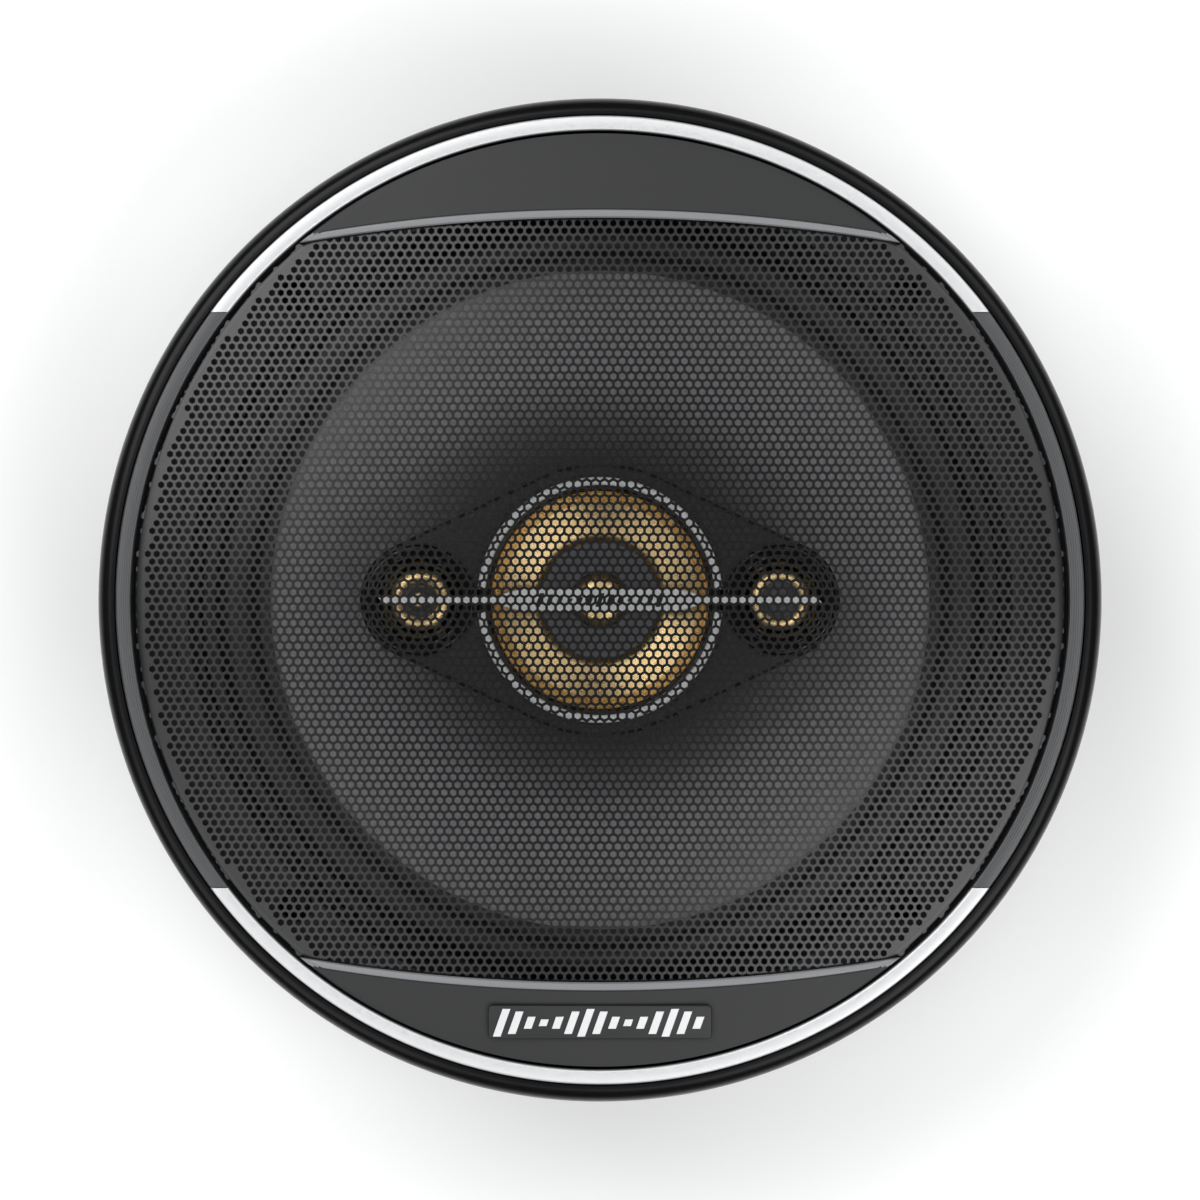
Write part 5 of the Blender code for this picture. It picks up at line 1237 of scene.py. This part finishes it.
cut(base_ring, *[turned("counterbore", 48, outline, centre) for centre in screw_places])
fit(base_ring, dark_abs, "basket", "dark_grey_plastic", "grille_base_ring")


# Base ring screws: four pan-head steel screws with a cross recess, black from their oxide bath. They run
# through the base ring and the flange.
# Black oxide on steel: dark, slightly brown and slightly oily.
black_oxide = surface("black_oxide_steel", "2c2a28", {"Metallic": 1.0, "Roughness": 0.42})
oil = add(black_oxide, "TexNoise", {"Scale": 1 / (1.2 * MM)})
worked(black_oxide, oil, roughness=(0.34, 0.5))

SCREW_HEAD = 2.85 * MM
SCREW_SHANK = 1.9 * MM
SCREW_BELOW = 6.0 * MM  # past the flange, into the panel
RECESS_HALF = (0.35 * MM, 1.5 * MM)
RECESS_DEPTH = 0.9 * MM

head_low = sink_floor + 0.05 * MM
head_high = base_high.z - 0.1 * MM
screw_tip = flange_front - SCREW_BELOW
for number, centre in enumerate(screw_places, 1):
    outline = eased([
        (0, head_high), (0.6 * SCREW_HEAD, head_high - 0.1 * MM, 1.0 * MM),
        (SCREW_HEAD, head_high - 0.7 * MM, 0.5 * MM), (SCREW_HEAD, head_low, 0.1 * MM),
        (SCREW_SHANK, head_low), (SCREW_SHANK, screw_tip + MM), (0, screw_tip)
    ])
    screw = turned(f"base_screw_{number}", 48, outline, centre)
    recesses = []
    for way in (RECESS_HALF, RECESS_HALF[::-1]):
        low = (centre[0] - way[0], centre[1] - way[1], head_high - RECESS_DEPTH)
        recesses.append(block("recess", low, (centre[0] + way[0], centre[1] + way[1], head_high + MM)))
    cut(screw, *recesses)
    fit(screw, black_oxide, "basket", "black_coated_steel")


# Grille outer ring: a deep ring of black ABS with a rounded shoulder. It snaps over the base ring, and a
# ledge inside it carries the trim frame.
# Low-sheen ABS: deep black, with only a soft line of light round the shoulder.
ring_abs = blasted_abs("low_sheen_black_abs", "0a0a0b", 0.24, {"IOR": 1.5, "Specular IOR Level": 0.12})

RING_WALL = 1.5 * MM
RING_LEDGE = 1.3 * MM
SHOULDER_WIDTH = 3.1 * MM
SHOULDER_DROP = 5.3 * MM
SHOULDER_POWER = 0.7  # 1 is an ellipse, and less is squarer
TRIM_WALL = 1.4 * MM

ring_low, ring_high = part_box("grille_outer_ring")
trim_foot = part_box("grille_trim_frame")[0].z
shoulder_inner = ring_high.x - SHOULDER_WIDTH
shoulder = [
    (
        shoulder_inner + SHOULDER_WIDTH * math.sin(turn) ** SHOULDER_POWER,
        ring_high.z - SHOULDER_DROP * (1 - math.cos(turn) ** SHOULDER_POWER)
    )
    for turn in (math.pi / 2 * i / 18 for i in range(19))
]
wall_inner = ring_high.x - RING_WALL
ledge_high = trim_foot - GAP
ledge_inner = shoulder_inner - 2 * GAP - TRIM_WALL
outer_ring = turned("grille_outer_moulding", 240, eased([
    *shoulder, (ring_high.x, ring_low.z, 0.5 * MM), (wall_inner, ring_low.z, 0.3 * MM),
    (wall_inner, ledge_high - RING_LEDGE), (ledge_inner, ledge_high - RING_LEDGE),
    (ledge_inner, ledge_high), (shoulder_inner, ledge_high)
]))
fit(outer_ring, ring_abs, "grille", "gloss_black_plastic", "grille_outer_ring")


# Trim frame: a satin ABS ring inside the shoulder, dark and finely brushed where it shows at the sides, with
# a crescent above and below that covers the edge of the mesh.
# Brushed ABS band: dark grey with fine lines round it, 0.4 mm apart.
brushed_band = surface("brushed_dark_abs", "37383a", {"Roughness": 0.38, "IOR": 1.54})
hairlines = add(
    brushed_band, "TexWave", {"Scale": waves(0.4 * MM), "Distortion": 3.0, "Detail": 3.0},
    wave_type="RINGS", rings_direction="Z"
)
worked(brushed_band, hairlines, tones=[(0.2, "2f3032"), (0.8, "414244")], relief=(0.3, 0.04 * MM))

# Satin black ABS of the crescents: near black, softly lit on its slope, from a finely blasted mould.
crescent_abs = blasted_abs("satin_black_abs", "131415", 0.5, {"IOR": 1.5, "Specular IOR Level": 0.4})

# Satin light grey ABS along the crescents' inner edge: a pale line of painted highlight, where the chamfer
# catches light.
painted_edge_highlight_abs = blasted_abs("satin_grey_abs_painted_highlight", "727375", 0.4, {"IOR": 1.5})

BAND_WIDTH = 2.6 * MM
BAND_COLLAR = 3.4 * MM
FACE_EDGE = 0.35 * MM
CRESCENT_WALL = 1.2 * MM
CRESCENT_REACH = 15.3 * MM
CRESCENT_SWEEP = 323.0 * MM  # radius of its inner edge
CRESCENT_GROOVE = 0.5 * MM
CRESCENT_STEPS = 160
CRESCENT_NARROW = 2.4 * MM  # where the tips are narrower than this, the bead narrows with them
CRESCENT_TIP = 0.02 * MM
PAINTED_HIGHLIGHT_WIDTH = 1.3 * MM
# Outline of the inner edge, in millimetres across from its foot and up from the mesh.
EDGE_LINE = [
    (0.0, 0.3), (0.0, 1.0), (0.25, 1.32), (0.9, 1.5), (1.25, 1.5), (1.35, 1.42), (1.5, 1.42), (1.6, 1.5)
]
DOME_RADIUS = 553.0 * MM
ARC_END = 50.3 * MM

arc_low, arc_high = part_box("silver_arc_upper")
mesh_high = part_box("grille_mesh")[1]
band_top = arc_low.z - GAP
band_outer = shoulder_inner - GAP
band_inner = band_outer - BAND_WIDTH


def dome_height(radius):
    """Height of the mesh's front."""
    return mesh_high.z - DOME_RADIUS + math.sqrt(DOME_RADIUS**2 - radius**2)


band = turned("trim_band", 240, eased([
    (band_outer, band_top, 0.2 * MM), (band_outer, trim_foot), (band_outer - TRIM_WALL, trim_foot),
    (band_outer - TRIM_WALL, band_top - BAND_COLLAR), (band_inner, band_top - BAND_COLLAR),
    (band_inner, band_top, 0.2 * MM)
]))
fit(band, brushed_band, "grille", "dark_grey_plastic", "grille_trim_frame")

face_outline = flat_ring(
    band_outer, band_inner, band_top, arc_high.z - 0.1 * MM, FACE_EDGE, 0, 0, FACE_EDGE
)
for side, first in (("right", 0.0), ("left", math.pi)):
    reach_of = lambda r: math.asin((ARC_END - 0.15 * MM) / r)
    ends = {"start": lambda r: first - reach_of(r), "stop": lambda r: first + reach_of(r)}
    side_band = turned(side + "_band_face", 96, face_outline, **ends)
    fit(side_band, brushed_band, "grille", "dark_grey_plastic")


def lofted(name, loops):
    """Joins closed loops with the same number of points, one after the other, and closes both ends."""
    build = bmesh.new()
    rows = [[build.verts.new(point) for point in loop] for loop in loops]
    for one, other in zip(rows, rows[1:]):
        for i in range(len(one)):
            j = (i + 1) % len(one)
            build.faces.new((one[i], one[j], other[j], other[i]))
    build.faces.new(rows[0])
    build.faces.new(rows[-1])
    return cleaned(name, build)


edge_centre = band_inner - CRESCENT_REACH - CRESCENT_SWEEP
crescent_outer = band_inner - CRESCENT_GROOVE


def crescent_edge(turn):
    """Distance from the axis to the crescents' inner edge, in a direction above the bridge."""
    rise = edge_centre * math.sin(turn)
    return rise + math.sqrt(rise**2 - edge_centre**2 + CRESCENT_SWEEP**2)


tip_y = (crescent_outer**2 - CRESCENT_SWEEP**2 + edge_centre**2) / (2 * edge_centre)
tip_turn = math.asin(tip_y / crescent_outer)
for name, facing in (("crescent_upper", 0.0), ("crescent_lower", math.pi)):
    loops = []
    for i in range(CRESCENT_STEPS + 1):
        turn = facing + tip_turn + (math.pi - 2 * tip_turn) * i / CRESCENT_STEPS
        inner = crescent_edge(turn - facing)
        width = max(crescent_outer - inner, CRESCENT_TIP)
        scale = min(1.0, width / CRESCENT_NARROW)
        line = [(inner + across * MM * scale, up * MM) for across, up in EDGE_LINE]
        last = line[-1][0]
        line += [(last + (crescent_outer - last) * k / 8, 1.5 * MM) for k in range(1, 8)]
        line += [(crescent_outer, 1.4 * MM), (crescent_outer, 0.9 * MM), (crescent_outer, 0.3 * MM)]
        loops.append([(r * math.cos(turn), r * math.sin(turn), dome_height(r) + up) for r, up in line])
    crescent = fit(lofted(name, loops), crescent_abs, "grille", "dark_grey_plastic")
    # Faces near the inner edge take the pale ABS, a painted highlight on the chamfer.
    crescent.data.materials.append(painted_edge_highlight_abs)
    for face in crescent.data.polygons:
        turn = math.atan2(face.center.y, face.center.x) - facing
        if face.center.xy.length < crescent_edge(turn) + PAINTED_HIGHLIGHT_WIDTH:
            face.material_index = 1


# Mesh: 0.8 mm steel sheet, perforated with hexagons, pressed into a shallow dome with its edge turned down,
# and powder coated black.
# Black powder coat on steel: satin, with a fine orange peel.
powder_coat = surface("black_powder_coated_steel", "0d0d0e", {
    "Roughness": 0.24, "Specular IOR Level": 0.38
})
peel = add(powder_coat, "TexNoise", {"Scale": 1 / (0.4 * MM), "Detail": 2.0})
worked(powder_coat, peel, relief=(0.15, 0.03 * MM), roughness=(0.2, 0.28), span=(0.0, 1.0))

PITCH = 1.55 * MM
HOLE_ACROSS = 1.07 * MM  # across its flats
HOLE_DEPTH = 0.6 * MM
MARGIN = 1.4 * MM  # solid edge that turns down
MESH_SKIRT = 3.5 * MM
UNDER_CRESCENT = 1.4 * MM

mesh_radius = mesh_high.x
last_hole = mesh_radius - MARGIN - 0.4 * PITCH
row = PITCH * math.sin(math.pi / 3)
reach = int(mesh_radius / row) + 1
cells = {}
for j in range(-reach, reach + 1):
    for i in range(-2 * reach, 2 * reach + 1):
        x, y = PITCH * (i + j / 2), row * j
        radius = math.hypot(x, y)
        under = radius > 0 and radius > crescent_edge(math.atan2(abs(y), x)) + UNDER_CRESCENT
        if radius < mesh_radius - 0.4 * MM and not under:
            cells[i, j] = (x, y, radius < last_hole)
corner = HOLE_ACROSS / 2 / math.cos(math.pi / 6)
corners = [
    (corner * math.cos(a), corner * math.sin(a)) for a in (math.pi / 6 + math.pi / 3 * k for k in range(6))
]
number = {cell: 6 * n for n, cell in enumerate(cells)}
points = [
    (x + dx, y + dy, dome_height(math.hypot(x + dx, y + dy))) for x, y, _ in cells.values()
    for dx, dy in corners
]
faces = []
STEPS = [(1, 0), (0, 1), (-1, 1)]
for (i, j), first in number.items():
    ahead = [number.get((i + di, j + dj)) for di, dj in STEPS]
    for way, other in enumerate(ahead):
        if other is not None:
            faces.append((first + (way - 1) % 6, other + way + 3, other + way + 2, first + way))
    if ahead[0] is not None and ahead[1] is not None:
        faces.append((first, ahead[0] + 2, ahead[1] + 4))
    if ahead[1] is not None and ahead[2] is not None:
        faces.append((first + 1, ahead[1] + 3, ahead[2] + 5))
    if cells[i, j][2]:
        base = len(points)
        points += [(x, y, z - HOLE_DEPTH) for x, y, z in points[first : first + 6]]
        faces += [(first + k, first + (k + 1) % 6, base + (k + 1) % 6, base + k) for k in range(6)]
    else:
        faces.append(tuple(first + k for k in range(6)))
sheet_mesh = bpy.data.meshes.new("perforated_sheet")
sheet_mesh.from_pydata(points, [], faces)
perforated = placed("perforated_sheet", sheet_mesh)
edge_top = dome_height(mesh_radius)
margin = turned("margin", 240, sheet(0.7 * MM, [
    (mesh_radius, edge_top - MESH_SKIRT), (mesh_radius, edge_top, 1.0 * MM),
    (mesh_radius - MARGIN, dome_height(mesh_radius - MARGIN) + 0.05 * MM)
]))
domed_mesh = joined("perforated_dome", [perforated, margin])
fit(domed_mesh, powder_coat, "grille", "black_perforated_steel", "grille_mesh")


# Silver arcs: two bows moulded in ABS and lacquered silver, which lie on the trim frame above and below.
# Their ends are cut level.
# Satin silver lacquer, full of flake: bright, neutral and satin.
silver_lacquer = flake_silver("satin_silver_lacquer", "c2c3c4", 0.65)

arc_inner = band_inner + 0.1 * MM
for name, node in (("arc_trim_upper", "silver_arc_upper"), ("arc_trim_lower", "silver_arc_lower")):
    arc_bow = bow(name, node, band_outer, arc_inner, ARC_END, 0.45 * MM, 160)
    fit(arc_bow, silver_lacquer, "grille", "satin_silver", node)


# Badge: a row of raised level marks in silver lacquer, on a thin black plate. The plate is moulded in satin
# ABS and glued along the lower crescent.
BADGE_HALF = (19.5 * MM, 3.0 * MM, 0.3 * MM)
BADGE_LINE = 73.6 * MM
MARK_RISE = 0.25 * MM

slope = math.asin(BADGE_LINE / DOME_RADIUS)
lift = GAP + CRESCENT_WALL + GAP + BADGE_HALF[2]
on_crescent = Matrix.Translation((0, -BADGE_LINE, dome_height(BADGE_LINE) + lift))
on_crescent = on_crescent @ Matrix.Rotation(slope, 4, "X")
half_x, half_y, half_z = BADGE_HALF
badge_outline = eased([
    (-half_x, -half_y, 0.8 * MM), (half_x, -half_y, 0.8 * MM), (half_x, half_y, 0.8 * MM),
    (-half_x, half_y, 0.8 * MM)
])
badge = slab("badge_plate", badge_outline, -half_z, half_z, 0.2 * MM)
badge.data.transform(on_crescent)
fit(badge, crescent_abs, "grille", "dark_grey_plastic")
badge_marks = level_marks(
    "badge_level_marks", 15, 2.45 * MM, 1.35 * MM, 4.9 * MM, half_z - INK, half_z + MARK_RISE
)
badge_marks.data.transform(on_crescent)
fit(badge_marks, silver_lacquer, "grille", "satin_silver", "badge")
